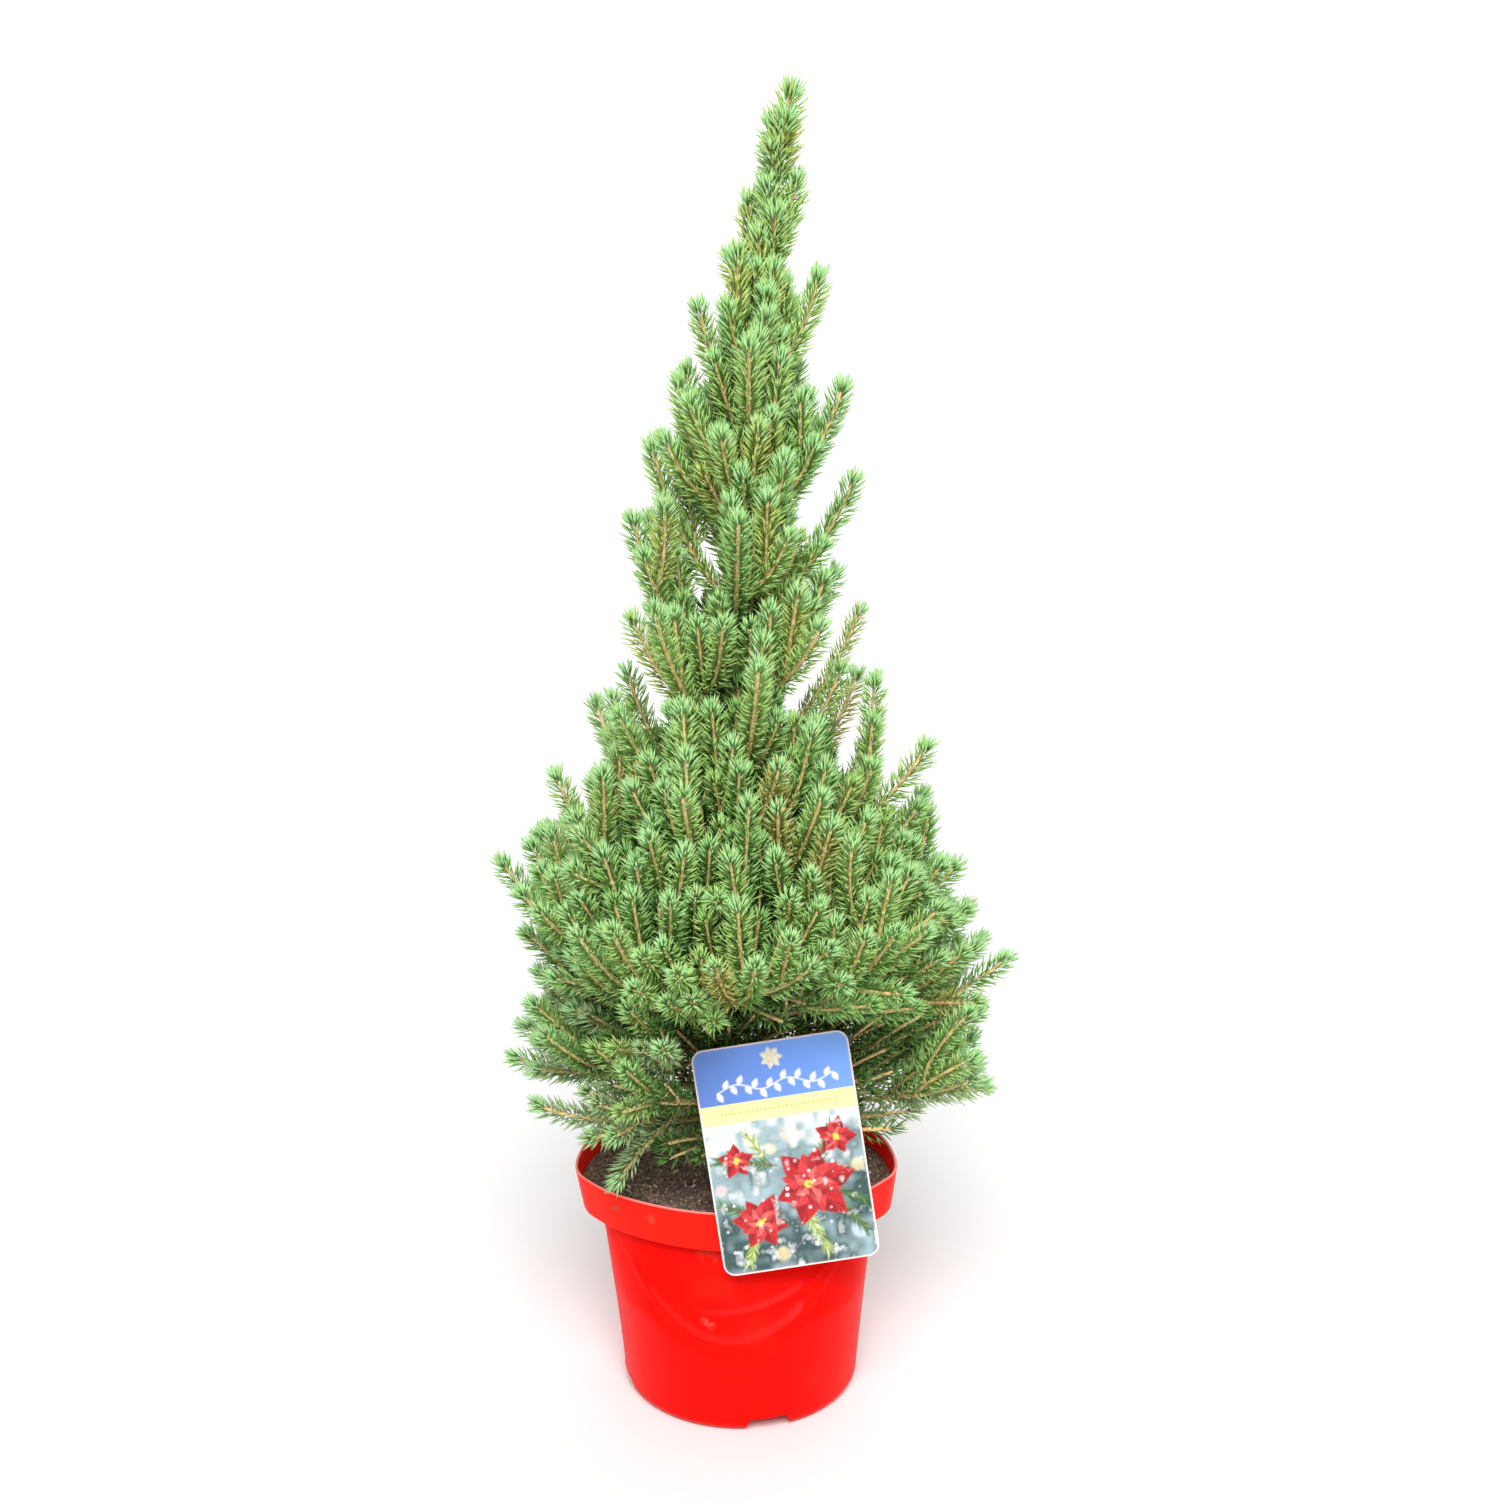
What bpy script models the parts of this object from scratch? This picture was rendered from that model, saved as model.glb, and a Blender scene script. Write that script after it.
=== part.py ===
"""A dwarf alberta spruce in a red nursery pot that has been squeezed at the front, with a hanging label.

Metres, +Z up. The origin is the middle of the pot's flat underside. The front faces -Y. A bearing is in
degrees about the trunk, from +X at the plant's right towards +Y at its back. Heights are above the ground.
"""

import math
from collections import namedtuple

import bmesh
import bpy
import numpy as np
from mathutils import Matrix, Vector

# Pot, before it is squeezed
POT_HEIGHT = 0.140
POT_WALL = 0.0016
RIM_RADIUS = 0.092
LIP_DEPTH = 0.026
LIP_TAPER = 0.002
SHOULDER_RADIUS = 0.0798
FOOT_RADIUS = 0.0715
FOOT_ROUNDING = 0.007
BRIM = 0.010
POT_SEGMENTS = 32
WALL_BANDS = 4
ROUND_EDGE = 40

# How the pot is squeezed: the front is pushed in above a curved crease, the sides and the back bulge
PUSH_DEPTH = 0.029
PUSH_SPREAD = 1.14
PUSH_FADE_START = 0.015
PUSH_FADE_DEPTH = 0.060
CREASE_HEIGHT = 0.052
CREASE_MIDDLE = -0.008
CREASE_CURVE = 9.0
CREASE_DROP = 0.044
SIDE_BULGE = 0.06
BACK_BULGE = 0.11
SIDE_SHIFT = -0.0025

# Drainage pockets round the foot
POCKETS = 4
POCKET_BEARING = -76
POCKET_WIDTH = 0.031
POCKET_TOP_WIDTH = 0.022
POCKET_HEIGHT = 0.009
POCKET_INNER_RADIUS = 0.052
POCKET_OVERRUN = 0.010
POCKET_FOOT = -0.004
POCKET_SLANT = 1.2
DRAIN_RADIUS = 0.004
DRAIN_PLACE = 0.060

GAP = 0.0003
SOIL_HEIGHT = 0.128
SOIL_SAG = 0.003
SOIL_STATIONS = ((0, 0), (0.030, 0), (0.060, 0.001))

# Label: a plastic card hooked over the rim by a tongue
CARD_WIDTH = 0.091
CARD_HEIGHT = 0.134
CARD_CORNER = 0.007
CARD_THICKNESS = 0.0008
CARD_CENTRE = (0.0266, -0.0585, 0.1765)
CARD_LEAN = 12
CARD_ROLL = 8.7
TONGUE_WIDTH = 0.013
TONGUE_TOP = 0.0035
TONGUE_SLACK = 0.0018

# Trunk: centre line as (height, x), with the radius as (height over the soil, radius)
TRUNK_LINE = ((0.128, -0.002), (0.150, -0.003), (0.285, -0.010), (0.350, -0.006), (0.475, -0.003), (0.630, 0.009),
              (0.720, 0.021), (0.770, 0.029))
TRUNK_RADII = ((0.0, 0.0095), (0.004, 0.0074), (0.012, 0.0062), (0.035, 0.0056), (0.35, 0.0034), (0.592, 0.0012))
TRUNK_TIP = 0.718
TRUNK_POINTS = 16
TRUNK_CROWDING = 1.7
TRUNK_CLEARANCE = 0.00036
ROUND_BARK = 60

# Leader: the heights of its stem's start, middle and end, and its twigs' length, lean and number
LEADER_HEIGHTS = (0.7183, 0.735, 0.761)
LEADER_TWIGS = (0.020, 5, 0)

# Limbs: how far out and how far up the middle of a limb's curve is drawn, as shares of its run and its rise
LIMB_OUT = 0.70
LIMB_UP = 0.30
BOUGH_RADIUS = 0.0026
BOUGH_TIP_RADIUS = 0.0016
BOUGH_POINTS = 6

# Twigs: where along their stem they leave it, at what angle, how long they are, and where they head for
TWIG_FIRST = 0.10
TWIG_STRETCH = 0.72
TWIG_PLACES = (0.2, 0.8)
TWIG_ANGLE = 38
TWIG_ANGLE_RANGE = 8
TWIG_SHORTENING = 0.35
TWIG_LENGTHS = (0.85, 1.1)
TWIG_BEND = 0.3
OUTWARD_SHARE = 0.25
LEAN_RANGE = (-9, 14)
TWIG_TRIES = 90
TWIG_SPACING = 0.0110
OWN_SPACING = 0.0090
TWIG_MARGIN = 0.006
OPENING_MARGIN = 0.005
RIM_CLEARANCE = 0.003
CARD_BACK = 0.002
CARD_FRONT = 0.040
SAMPLE_PITCH = 0.003
SEED = 41

# Shoots: a slim core that needles stand out of, fewer and larger than life
CORE_RADIUS = 0.0042
THINNEST_CORE = 0.0008
CORE_TAPER = 0.55
STEM_RADIUS = 0.0013
RING_PITCH = 0.0136
RING_TWIST = 48
SPIKE_LENGTH = 0.0112
SPIKE_LEAN = 47
SPIKE_SHARES = (1, 0.8, 0.6, 0.45, 0.3)
SPIKE_SHORTENING = 0.15
ROOT_SPIKE_SHARE = 0.62
STUNTED_SPIKE = 0.0004
TIP_SPIKE = 0.007
CAP_SPAN = 0.001
SHARE = 0.0012
LIMB_CLEARANCE = 0.0009

# Outline that the twigs' cores keep to: (height, x of its middle, radius)
CROWN = ((0.150, -0.011, 0.088), (0.172, -0.008, 0.100), (0.190, 0.012, 0.128), (0.215, 0.006, 0.137),
         (0.270, 0.014, 0.134), (0.330, -0.004, 0.126), (0.360, 0.004, 0.106), (0.400, 0.006, 0.094),
         (0.450, 0.003, 0.069), (0.500, 0.000, 0.059), (0.580, 0.004, 0.049), (0.610, 0.002, 0.034),
         (0.650, 0.008, 0.029), (0.690, 0.013, 0.020), (0.712, 0.019, 0.013), (0.740, 0.022, 0.011),
         (0.770, 0.028, 0.008))

# Openings in the crown, seen from VIEWPOINT: x and height where the sight line passes y = 0, half width, half height
VIEWPOINT = (0.0095, -1.25, 0.785)
OPENINGS = (
    (-0.019, 0.513, 0.007, 0.018),
    (0.043, 0.537, 0.007, 0.008),
    (-0.049, 0.425, 0.005, 0.011),
    (0.037, 0.433, 0.010, 0.011),
    (0.061, 0.403, 0.005, 0.014),
    (0.087, 0.390, 0.005, 0.024),
    (-0.014, 0.640, 0.003, 0.011),
    (-0.084, 0.400, 0.005, 0.006),
)

# A tier of limbs: the share of each limb that is bare bough, the twigs on each, how long they are and by how many
# degrees they lean out at their tips, and the limbs as (place, root height, bearing, reach, tip height)
Tier = namedtuple("Tier", "name bare twigs twig_length lean limbs")
Limb = namedtuple("Limb", "place root bearing reach tip")
TIERS = (
    Tier("spire", 0, 2, 0.032, 5, (
        Limb("right_1", 0.672, -8, 0.010, 0.716),
        Limb("left", 0.640, 178, 0.013, 0.706),
        Limb("back", 0.628, 85, 0.026, 0.690),
        Limb("right_2", 0.602, -5, 0.029, 0.666),
    )),
    Tier("crown", 0, 3, 0.050, 6, (
        Limb("left_1", 0.592, -172, 0.033, 0.650),
        Limb("front_1", 0.572, -95, 0.043, 0.635),
        Limb("back_1", 0.556, 70, 0.048, 0.618),
        Limb("right_1", 0.530, 0, 0.049, 0.607),
        Limb("left_2", 0.522, -165, 0.041, 0.611),
        Limb("back_2", 0.505, 130, 0.056, 0.582),
        Limb("left_3", 0.486, 176, 0.052, 0.574),
        Limb("right_2", 0.482, 4, 0.060, 0.555),
        Limb("front_2", 0.470, -92, 0.063, 0.546),
    )),
    Tier("middle", 0, 4, 0.060, 5, (
        Limb("left_1", 0.440, -179, 0.060, 0.533),
        Limb("right_1", 0.428, -52, 0.074, 0.487),
        Limb("front_1", 0.408, -127, 0.072, 0.496),
        Limb("back", 0.418, 84, 0.082, 0.506),
        Limb("right_3", 0.372, -14, 0.062, 0.452),
        Limb("front_2", 0.366, -80, 0.080, 0.470),
        Limb("left_2", 0.352, 172, 0.060, 0.444),
    )),
    Tier("lone", 0, 0, 0.042, 20, (
        Limb("right_1", 0.388, 8, 0.071, 0.480),
        Limb("right_2", 0.280, 14, 0.086, 0.415),
    )),
    Tier("broad", 0, 5, 0.068, 6, (
        Limb("back_1", 0.338, 45, 0.104, 0.424),
        Limb("right", 0.322, -14, 0.112, 0.410),
        Limb("back_2", 0.316, 140, 0.106, 0.408),
        Limb("front_1", 0.306, -105, 0.096, 0.404),
        Limb("front_2", 0.298, -60, 0.098, 0.400),
        Limb("left", 0.282, -172, 0.099, 0.389),
    )),
    Tier("low", 0.40, 5, 0.070, 17, (
        Limb("back_1", 0.262, 70, 0.130, 0.345),
        Limb("right", 0.264, -5, 0.131, 0.334),
        Limb("front_3", 0.252, -82, 0.124, 0.318),
        Limb("left", 0.246, -176, 0.129, 0.335),
        Limb("front_1", 0.240, -120, 0.120, 0.330),
        Limb("front_2", 0.234, -42, 0.126, 0.322),
        Limb("back_2", 0.232, 128, 0.136, 0.312),
    )),
    Tier("foot", 0.40, 4, 0.064, 46, (
        Limb("right_1", 0.212, -2, 0.164, 0.274),
        Limb("back_1", 0.196, 40, 0.150, 0.232),
        Limb("left", 0.190, -179, 0.126, 0.210),
        Limb("back_2", 0.184, 100, 0.142, 0.222),
        Limb("right_2", 0.178, 2, 0.150, 0.188),
    )),
    Tier("skirt", 0, 4, 0.050, 72, (
        Limb("front_1", 0.172, -150, 0.124, 0.208),
        Limb("front_2", 0.172, -30, 0.108, 0.190),
    )),
    Tier("droop", 0, 0, 0.046, 90, (
        Limb("front", 0.198, -140, 0.087, 0.157),
    )),
)
GOLDEN_ANGLE = math.radians(137.5)

Material = namedtuple("Material", "name colour roughness")
RED_PLASTIC = Material("Red moulded plastic", (0.86, 0.020, 0.010), 0.38)
PEAT = Material("Peat compost", (0.040, 0.026, 0.020), 0.95)
CARD = Material("Printed plastic card", (0.62, 0.74, 0.86), 0.35)
BARK = Material("Spruce bark", (0.30, 0.19, 0.10), 0.85)
NEEDLES = Material("Spruce needles", (0.085, 0.21, 0.06), 0.6)


def clear_scene():
    for obj in list(bpy.data.objects):
        bpy.data.objects.remove(obj, do_unlink=True)


def new_collection(name):
    collection = bpy.data.collections.new(name)
    bpy.context.scene.collection.children.link(collection)
    return collection


def make_material(spec):
    found = bpy.data.materials.get(spec.name)
    if found:
        return found
    material = bpy.data.materials.new(spec.name)
    material.use_nodes = True
    shader = material.node_tree.nodes["Principled BSDF"]
    shader.inputs["Base Color"].default_value = (*spec.colour, 1)
    shader.inputs["Roughness"].default_value = spec.roughness
    shader.inputs["Metallic"].default_value = 0
    material.diffuse_color = (*spec.colour, 1)
    return material


def add_object(name, mesh, collection, spec=None):
    obj = bpy.data.objects.new(name, mesh)
    collection.objects.link(obj)
    if spec:
        mesh.materials.clear()
        mesh.materials.append(make_material(spec))
    return obj


def add_cutter(name, mesh):
    obj = add_object(name, mesh, CUTTERS)
    obj.hide_render = True
    obj.display_type = "WIRE"
    return obj


def mesh_of(obj):
    """The object's evaluated mesh in world space, with a curve's loose caps welded."""
    graph = bpy.context.evaluated_depsgraph_get()
    mesh = bpy.data.meshes.new_from_object(obj.evaluated_get(graph))
    mesh.transform(obj.matrix_world)
    shape = bmesh.new()
    shape.from_mesh(mesh)
    bmesh.ops.remove_doubles(shape, verts=shape.verts, dist=1e-6)
    shape.to_mesh(mesh)
    shape.free()
    return mesh


def boolean(obj, operand, operation, solver):
    """One Boolean with an object or a collection, applied."""
    modifier = obj.modifiers.new(operation.title(), "BOOLEAN")
    modifier.operation = operation
    modifier.solver = solver
    if isinstance(operand, bpy.types.Collection):
        modifier.operand_type = "COLLECTION"
        modifier.collection = operand
    else:
        modifier.object = operand
    mesh = mesh_of(obj)
    obj.modifiers.clear()
    obj.data = mesh


def smooth(obj, angle=ROUND_EDGE):
    obj.data.shade_smooth()
    obj.data.set_sharp_from_angle(angle=math.radians(angle))


def tube_mesh(name, points, radii, sides_resolution, section=None, tilts=None):
    """A closed tube along a line of points, with a radius and a turn at each, round or of the section given."""
    curve = bpy.data.curves.new(name, "CURVE")
    curve.dimensions = "3D"
    if section:
        curve.bevel_mode = "OBJECT"
        curve.bevel_object = section
    else:
        curve.bevel_depth = 1
        curve.bevel_resolution = sides_resolution
    curve.use_fill_caps = True
    curve.twist_mode = "MINIMUM"
    spline = curve.splines.new("POLY")
    spline.points.add(len(points) - 1)
    for i, (point, radius) in enumerate(zip(points, radii)):
        spline.points[i].co = (*point, 1)
        spline.points[i].radius = radius
        if tilts is not None:
            spline.points[i].tilt = tilts[i]
    guide = add_object(name, curve, CUTTERS)
    mesh = mesh_of(guide)
    bpy.data.objects.remove(guide)
    bpy.data.curves.remove(curve)
    return mesh


def three_sided_section():
    """The section of a shoot's core, as a closed curve of radius 1."""
    curve = bpy.data.curves.new("shoot_section", "CURVE")
    spline = curve.splines.new("POLY")
    spline.points.add(2)
    for i, point in enumerate(spline.points):
        turn = -math.radians(120) * i
        point.co = (math.cos(turn), math.sin(turn), 0, 1)
    spline.use_cyclic_u = True
    return add_cutter("shoot_section", curve)


def arc(centre_r, centre_z, radius, start, end, steps):
    """Profile points round an arc, with angles in degrees from the outward direction."""
    angles = np.radians(np.linspace(start, end, steps + 1))
    return [(centre_r + radius * math.cos(a), centre_z + radius * math.sin(a)) for a in angles]


def turned_mesh(name, profile):
    """The solid that a profile of (radius, height), from the top of the axis to its foot, sweeps about Z."""
    mesh = bpy.data.meshes.new(name)
    edges = [(i, i + 1) for i in range(len(profile) - 1)]
    mesh.from_pydata([(r, 0, z) for r, z in profile], edges, [])
    guide = add_object(name, mesh, CUTTERS)
    screw = guide.modifiers.new("Screw", "SCREW")
    screw.steps = screw.render_steps = POT_SEGMENTS
    screw.use_merge_vertices = True
    screw.merge_threshold = 1e-5
    turned = mesh_of(guide)
    bpy.data.objects.remove(guide)
    return turned


def squeezed(point):
    """Where a point of the round pot, or of the soil in it, lies in the squeezed one."""
    x, y, z = point
    height = z / POT_HEIGHT
    bulge = height * height
    lip = POT_HEIGHT - LIP_DEPTH
    crease = min(CREASE_HEIGHT + CREASE_CURVE * (x - CREASE_MIDDLE) ** 2, lip - CREASE_DROP)
    ramp = min(max((z - crease) / (lip - crease), 0), 1)
    fade = min(max((PUSH_FADE_START - y) / PUSH_FADE_DEPTH, 0), 1)
    fade = fade * fade * (3 - 2 * fade)
    side = 1 - (x / (PUSH_SPREAD * max(math.hypot(x, y), 0.01))) ** 4
    back = BACK_BULGE * bulge * max(y, 0)
    return (x * (1 + SIDE_BULGE * bulge) + SIDE_SHIFT * bulge, y + back + PUSH_DEPTH * ramp * fade * side, z)


def squeeze(mesh):
    for vertex in mesh.vertices:
        vertex.co = squeezed(vertex.co)
    return mesh


def wall_profile(inset):
    """The pot's outer wall, top to bottom, moved in by inset: the lip, the shoulder, the wall and the foot."""
    lip_z = POT_HEIGHT - LIP_DEPTH + inset
    foot_z = FOOT_ROUNDING
    bands = np.linspace(0, 1, WALL_BANDS + 1)[1:-1]
    wall = [
        (SHOULDER_RADIUS + (FOOT_RADIUS - SHOULDER_RADIUS) * t - inset, lip_z + (foot_z - lip_z) * t) for t in bands
    ]
    foot = arc(FOOT_RADIUS - FOOT_ROUNDING, foot_z, FOOT_ROUNDING - inset, 0, -90, 3)
    return [
        (RIM_RADIUS - inset, POT_HEIGHT),
        (RIM_RADIUS - LIP_TAPER - inset, lip_z),
        (SHOULDER_RADIUS - inset, lip_z),
        *wall,
        *foot,
    ]


def pocket_cutters(name, grow):
    """A collection of the drainage pockets as tapered blocks, grown all round by a wall's thickness."""
    collection = bpy.data.collections.new(name)
    CUTTERS.children.link(collection)
    outer = FOOT_RADIUS + POCKET_OVERRUN
    length = outer - POCKET_INNER_RADIUS + grow
    slope = (POCKET_WIDTH - POCKET_TOP_WIDTH) / POCKET_HEIGHT
    for i in range(POCKETS):
        shape = bmesh.new()
        bmesh.ops.create_cube(shape, size=1)
        for vertex in shape.verts:
            top = vertex.co.z > 0
            z = POCKET_HEIGHT + grow if top else POCKET_FOOT
            width = POCKET_WIDTH - slope * z + 2 * POCKET_SLANT * grow
            vertex.co = (outer - length * (0.5 - vertex.co.x), vertex.co.y * width, z)
        bearing = math.radians(POCKET_BEARING + i * 360 / POCKETS)
        bmesh.ops.rotate(shape, verts=shape.verts, matrix=Matrix.Rotation(bearing, 3, "Z"))
        mesh = bpy.data.meshes.new(f"{name}_{i}")
        shape.to_mesh(mesh)
        shape.free()
        block = add_object(f"{name}_{i}", mesh, collection)
        block.hide_render = True
        block.display_type = "WIRE"
    return collection


def drain_cutters():
    collection = bpy.data.collections.new("drains")
    CUTTERS.children.link(collection)
    for i in range(POCKETS):
        bearing = math.radians(POCKET_BEARING + i * 360 / POCKETS)
        place = (DRAIN_PLACE * math.cos(bearing), DRAIN_PLACE * math.sin(bearing), POCKET_HEIGHT)
        shape = bmesh.new()
        bmesh.ops.create_cone(
            shape, cap_ends=True, segments=8, radius1=DRAIN_RADIUS, radius2=DRAIN_RADIUS, depth=POCKET_HEIGHT,
            matrix=Matrix.Translation(place),
        )
        mesh = bpy.data.meshes.new(f"drain_{i}")
        shape.to_mesh(mesh)
        shape.free()
        drain = add_object(f"drain_{i}", mesh, collection)
        drain.hide_render = True
        drain.display_type = "WIRE"
    return collection


def make_pot_and_soil():
    axis_top = [(0, POT_HEIGHT)]
    outer = wall_profile(0)
    pot = add_object("pot", squeeze(turned_mesh("pot", axis_top + outer + [(0, 0)])), PARTS, RED_PLASTIC)

    inner = wall_profile(POT_WALL)
    brim = [(0, POT_HEIGHT + BRIM), (inner[0][0], POT_HEIGHT + BRIM)]
    cavity = add_cutter("cavity", squeeze(turned_mesh("cavity", brim + inner + [(0, POT_WALL)])))
    boolean(cavity, pocket_cutters("pocket_shells", POT_WALL), "DIFFERENCE", "EXACT")
    boolean(pot, cavity, "DIFFERENCE", "EXACT")
    boolean(pot, pocket_cutters("pockets", 0), "DIFFERENCE", "EXACT")
    boolean(pot, drain_cutters(), "DIFFERENCE", "EXACT")
    smooth(pot)

    fill = wall_profile(POT_WALL + GAP)
    edge_z = SOIL_HEIGHT - SOIL_SAG
    edge_r = fill[0][0] - LIP_TAPER * (POT_HEIGHT - edge_z) / LIP_DEPTH
    surface = [(r, SOIL_HEIGHT - fall) for r, fall in SOIL_STATIONS] + [(edge_r, edge_z)]
    body = squeeze(turned_mesh("soil", surface + fill[1:] + [(0, POT_WALL + GAP)]))
    soil = add_object("soil", body, PARTS, PEAT)
    boolean(soil, pocket_cutters("pocket_clearance", POT_WALL + GAP), "DIFFERENCE", "EXACT")
    smooth(soil)


def card_frame():
    """The card's own axes: its place with x along its width, y up it and z out of its face."""
    lean = math.radians(CARD_LEAN)
    up = Vector((0, math.sin(lean), math.cos(lean)))
    face = Vector((0, -math.cos(lean), math.sin(lean)))
    right = Vector((1, 0, 0))
    frame = Matrix((right, up, face)).transposed().to_4x4()
    return Matrix.Translation(CARD_CENTRE) @ frame @ Matrix.Rotation(math.radians(CARD_ROLL), 4, "Z")


def outline_mesh(name, points, thickness, matrix):
    """A flat outline as a filled 2D curve, given its thickness and placed."""
    curve = bpy.data.curves.new(name, "CURVE")
    curve.dimensions = "2D"
    curve.fill_mode = "BOTH"
    curve.extrude = thickness / 2
    spline = curve.splines.new("POLY")
    spline.points.add(len(points) - 1)
    for i, (x, y) in enumerate(points):
        spline.points[i].co = (x, y, 0, 1)
    spline.use_cyclic_u = True
    guide = add_object(name, curve, CUTTERS)
    guide.matrix_world = matrix
    bpy.context.view_layer.update()
    mesh = mesh_of(guide)
    bpy.data.objects.remove(guide)
    bpy.data.curves.remove(curve)
    return mesh


def make_label():
    """The card with rounded corners, and the tongue from its back over the rim and down to the soil."""
    half_w, half_h = CARD_WIDTH / 2 - CARD_CORNER, CARD_HEIGHT / 2 - CARD_CORNER
    corners = ((half_w, half_h, 0), (-half_w, half_h, 90), (-half_w, -half_h, 180), (half_w, -half_h, 270))
    points = [p for x, y, turn in corners for p in arc(x, y, CARD_CORNER, turn, turn + 90, 4)]
    frame = card_frame()
    card = add_object("label", outline_mesh("label", points, CARD_THICKNESS, frame), PARTS, CARD)

    edge_x = CARD_CENTRE[0] + TONGUE_WIDTH / 2
    rim_y = squeezed((edge_x, -math.sqrt(RIM_RADIUS**2 - edge_x**2), POT_HEIGHT))[1]
    over = POT_HEIGHT + GAP
    behind = rim_y + POT_WALL + TONGUE_SLACK
    front = CARD_CENTRE[1] - (CARD_CENTRE[2] - over - TONGUE_TOP / 2) * math.tan(math.radians(CARD_LEAN))
    strip = CARD_THICKNESS
    hook = (
        (front, over + TONGUE_TOP),
        (front, over + TONGUE_TOP - strip),
        (behind, over + TONGUE_TOP - 2 * strip),
        (behind, SOIL_HEIGHT + GAP),
        (behind + strip, SOIL_HEIGHT + GAP),
        (behind + strip, over + TONGUE_TOP - strip),
    )
    upright = Matrix.Translation((CARD_CENTRE[0], 0, 0)) @ Matrix(
        ((0, 0, 1, 0), (1, 0, 0, 0), (0, 1, 0, 0), (0, 0, 0, 1))
    )
    tongue = add_cutter("tongue", outline_mesh("tongue", hook, TONGUE_WIDTH, upright))
    boolean(card, tongue, "UNION", "EXACT")


def trunk_at(z):
    heights, xs = zip(*TRUNK_LINE)
    return np.array([np.interp(z, heights, xs), 0.0, z])


def trunk_radius(z):
    heights, radii = zip(*TRUNK_RADII)
    return float(np.interp(z - SOIL_HEIGHT, heights, radii))


def trunk_tube(name, grow):
    foot = SOIL_HEIGHT + GAP
    steps = np.linspace(0, 1, TRUNK_POINTS) ** TRUNK_CROWDING
    heights = foot + (TRUNK_TIP - foot) * steps
    points = [trunk_at(z) for z in heights]
    points[0][0] = points[1][0]
    return tube_mesh(name, points, [trunk_radius(z) + grow for z in heights], 2)


def make_trunk():
    trunk = add_object("trunk", trunk_tube("trunk", 0), PARTS, BARK)
    smooth(trunk, ROUND_BARK)
    return add_cutter("trunk_clearance", trunk_tube("trunk_clearance", TRUNK_CLEARANCE))


def bezier(start, control, end, t):
    t = np.asarray(t)[..., None]
    return (1 - t) ** 2 * start + 2 * t * (1 - t) * control + t * t * end


def evenly(start, control, end, pitch, first=0.0, last=1.0):
    """Points at even steps of about pitch along the stretch of a curve from first to last."""
    dense = bezier(start, control, end, np.linspace(first, last, 80))
    length = np.concatenate([[0], np.cumsum(np.linalg.norm(np.diff(dense, axis=0), axis=1))])
    count = max(2, round(length[-1] / pitch))
    at = np.linspace(0, length[-1], count + 1)
    return np.stack([np.interp(at, length, dense[:, i]) for i in range(3)], axis=1)


def unit(vector):
    return vector / np.linalg.norm(vector)


def limb_curve(limb):
    """Start, control and end of a limb, which leaves the trunk outwards and turns up towards its tip."""
    bearing = math.radians(limb.bearing)
    start = trunk_at(limb.root)
    end = trunk_at(limb.tip) + limb.reach * np.array([math.cos(bearing), math.sin(bearing), 0])
    rise = end - start
    control = start + rise * np.array([LIMB_OUT, LIMB_OUT, LIMB_UP])
    return start, control, end


def in_opening(points, margin):
    """Which points lie in one of the crown's openings, widened by a margin."""
    eye = np.array(VIEWPOINT)
    ray = points - eye
    on_plane = eye + ray * (-eye[1] / ray[:, 1])[:, None]
    inside = np.zeros(len(points), bool)
    for x, z, half_w, half_h in OPENINGS:
        inside |= (abs(on_plane[:, 0] - x) < half_w + margin) & (abs(on_plane[:, 2] - z) < half_h + margin)
    return inside


def by_label_or_pot(points, margin):
    """Which points touch the label, hang in front of it, or come down to the rim and the soil."""
    inverse = np.array(card_frame().inverted())
    local = points @ inverse[:3, :3].T + inverse[:3, 3]
    in_card = (abs(local[:, 0]) < CARD_WIDTH / 2 + margin) & (abs(local[:, 1]) < CARD_HEIGHT / 2 + margin)
    in_card &= (local[:, 2] > -margin - CARD_BACK) & (local[:, 2] < CARD_FRONT)
    return in_card | (points[:, 2] < POT_HEIGHT + RIM_CLEARANCE + margin)


def outside_crown(points):
    heights, middles, radii = zip(*CROWN)
    radius = np.hypot(points[:, 0] - np.interp(points[:, 2], heights, middles), points[:, 1])
    return (radius > np.interp(points[:, 2], heights, radii)) | (points[:, 2] > CROWN[-1][0])


def nearest(points, others):
    """The distance from each point to the nearest of the others."""
    if len(others) == 0:
        return np.full(len(points), 1.0)
    return np.sqrt(((points[:, None] - others[None]) ** 2).sum(axis=2).min(axis=1))


class Shoot:
    """One shoot of needles: the curve of its core, and the mass that it belongs to."""

    def __init__(self, mass, start, control, end, first=0.0):
        self.mass, self.curve, self.first = mass, (start, control, end), first
        self.samples = evenly(start, control, end, SAMPLE_PITCH, first)

    def rings(self):
        return evenly(*self.curve, RING_PITCH, self.first)


def limb_space():
    """Sampled centre lines of the trunk and the boughs, with their radii and the mass that each bough carries."""
    heights = np.arange(SOIL_HEIGHT, TRUNK_TIP, SAMPLE_PITCH)
    points = [trunk_at(z) for z in heights]
    radii = [trunk_radius(z) for z in heights]
    owners = ["trunk"] * len(heights)
    for tier in TIERS:
        for limb in tier.limbs if tier.bare else ():
            line = evenly(*limb_curve(limb), SAMPLE_PITCH, 0, tier.bare)
            points += list(line)
            radii += list(np.linspace(BOUGH_RADIUS, BOUGH_TIP_RADIUS, len(line)))
            owners += [f"{tier.name}_{limb.place}"] * len(line)
    return np.array(points), np.array(radii), np.array(owners)


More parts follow.
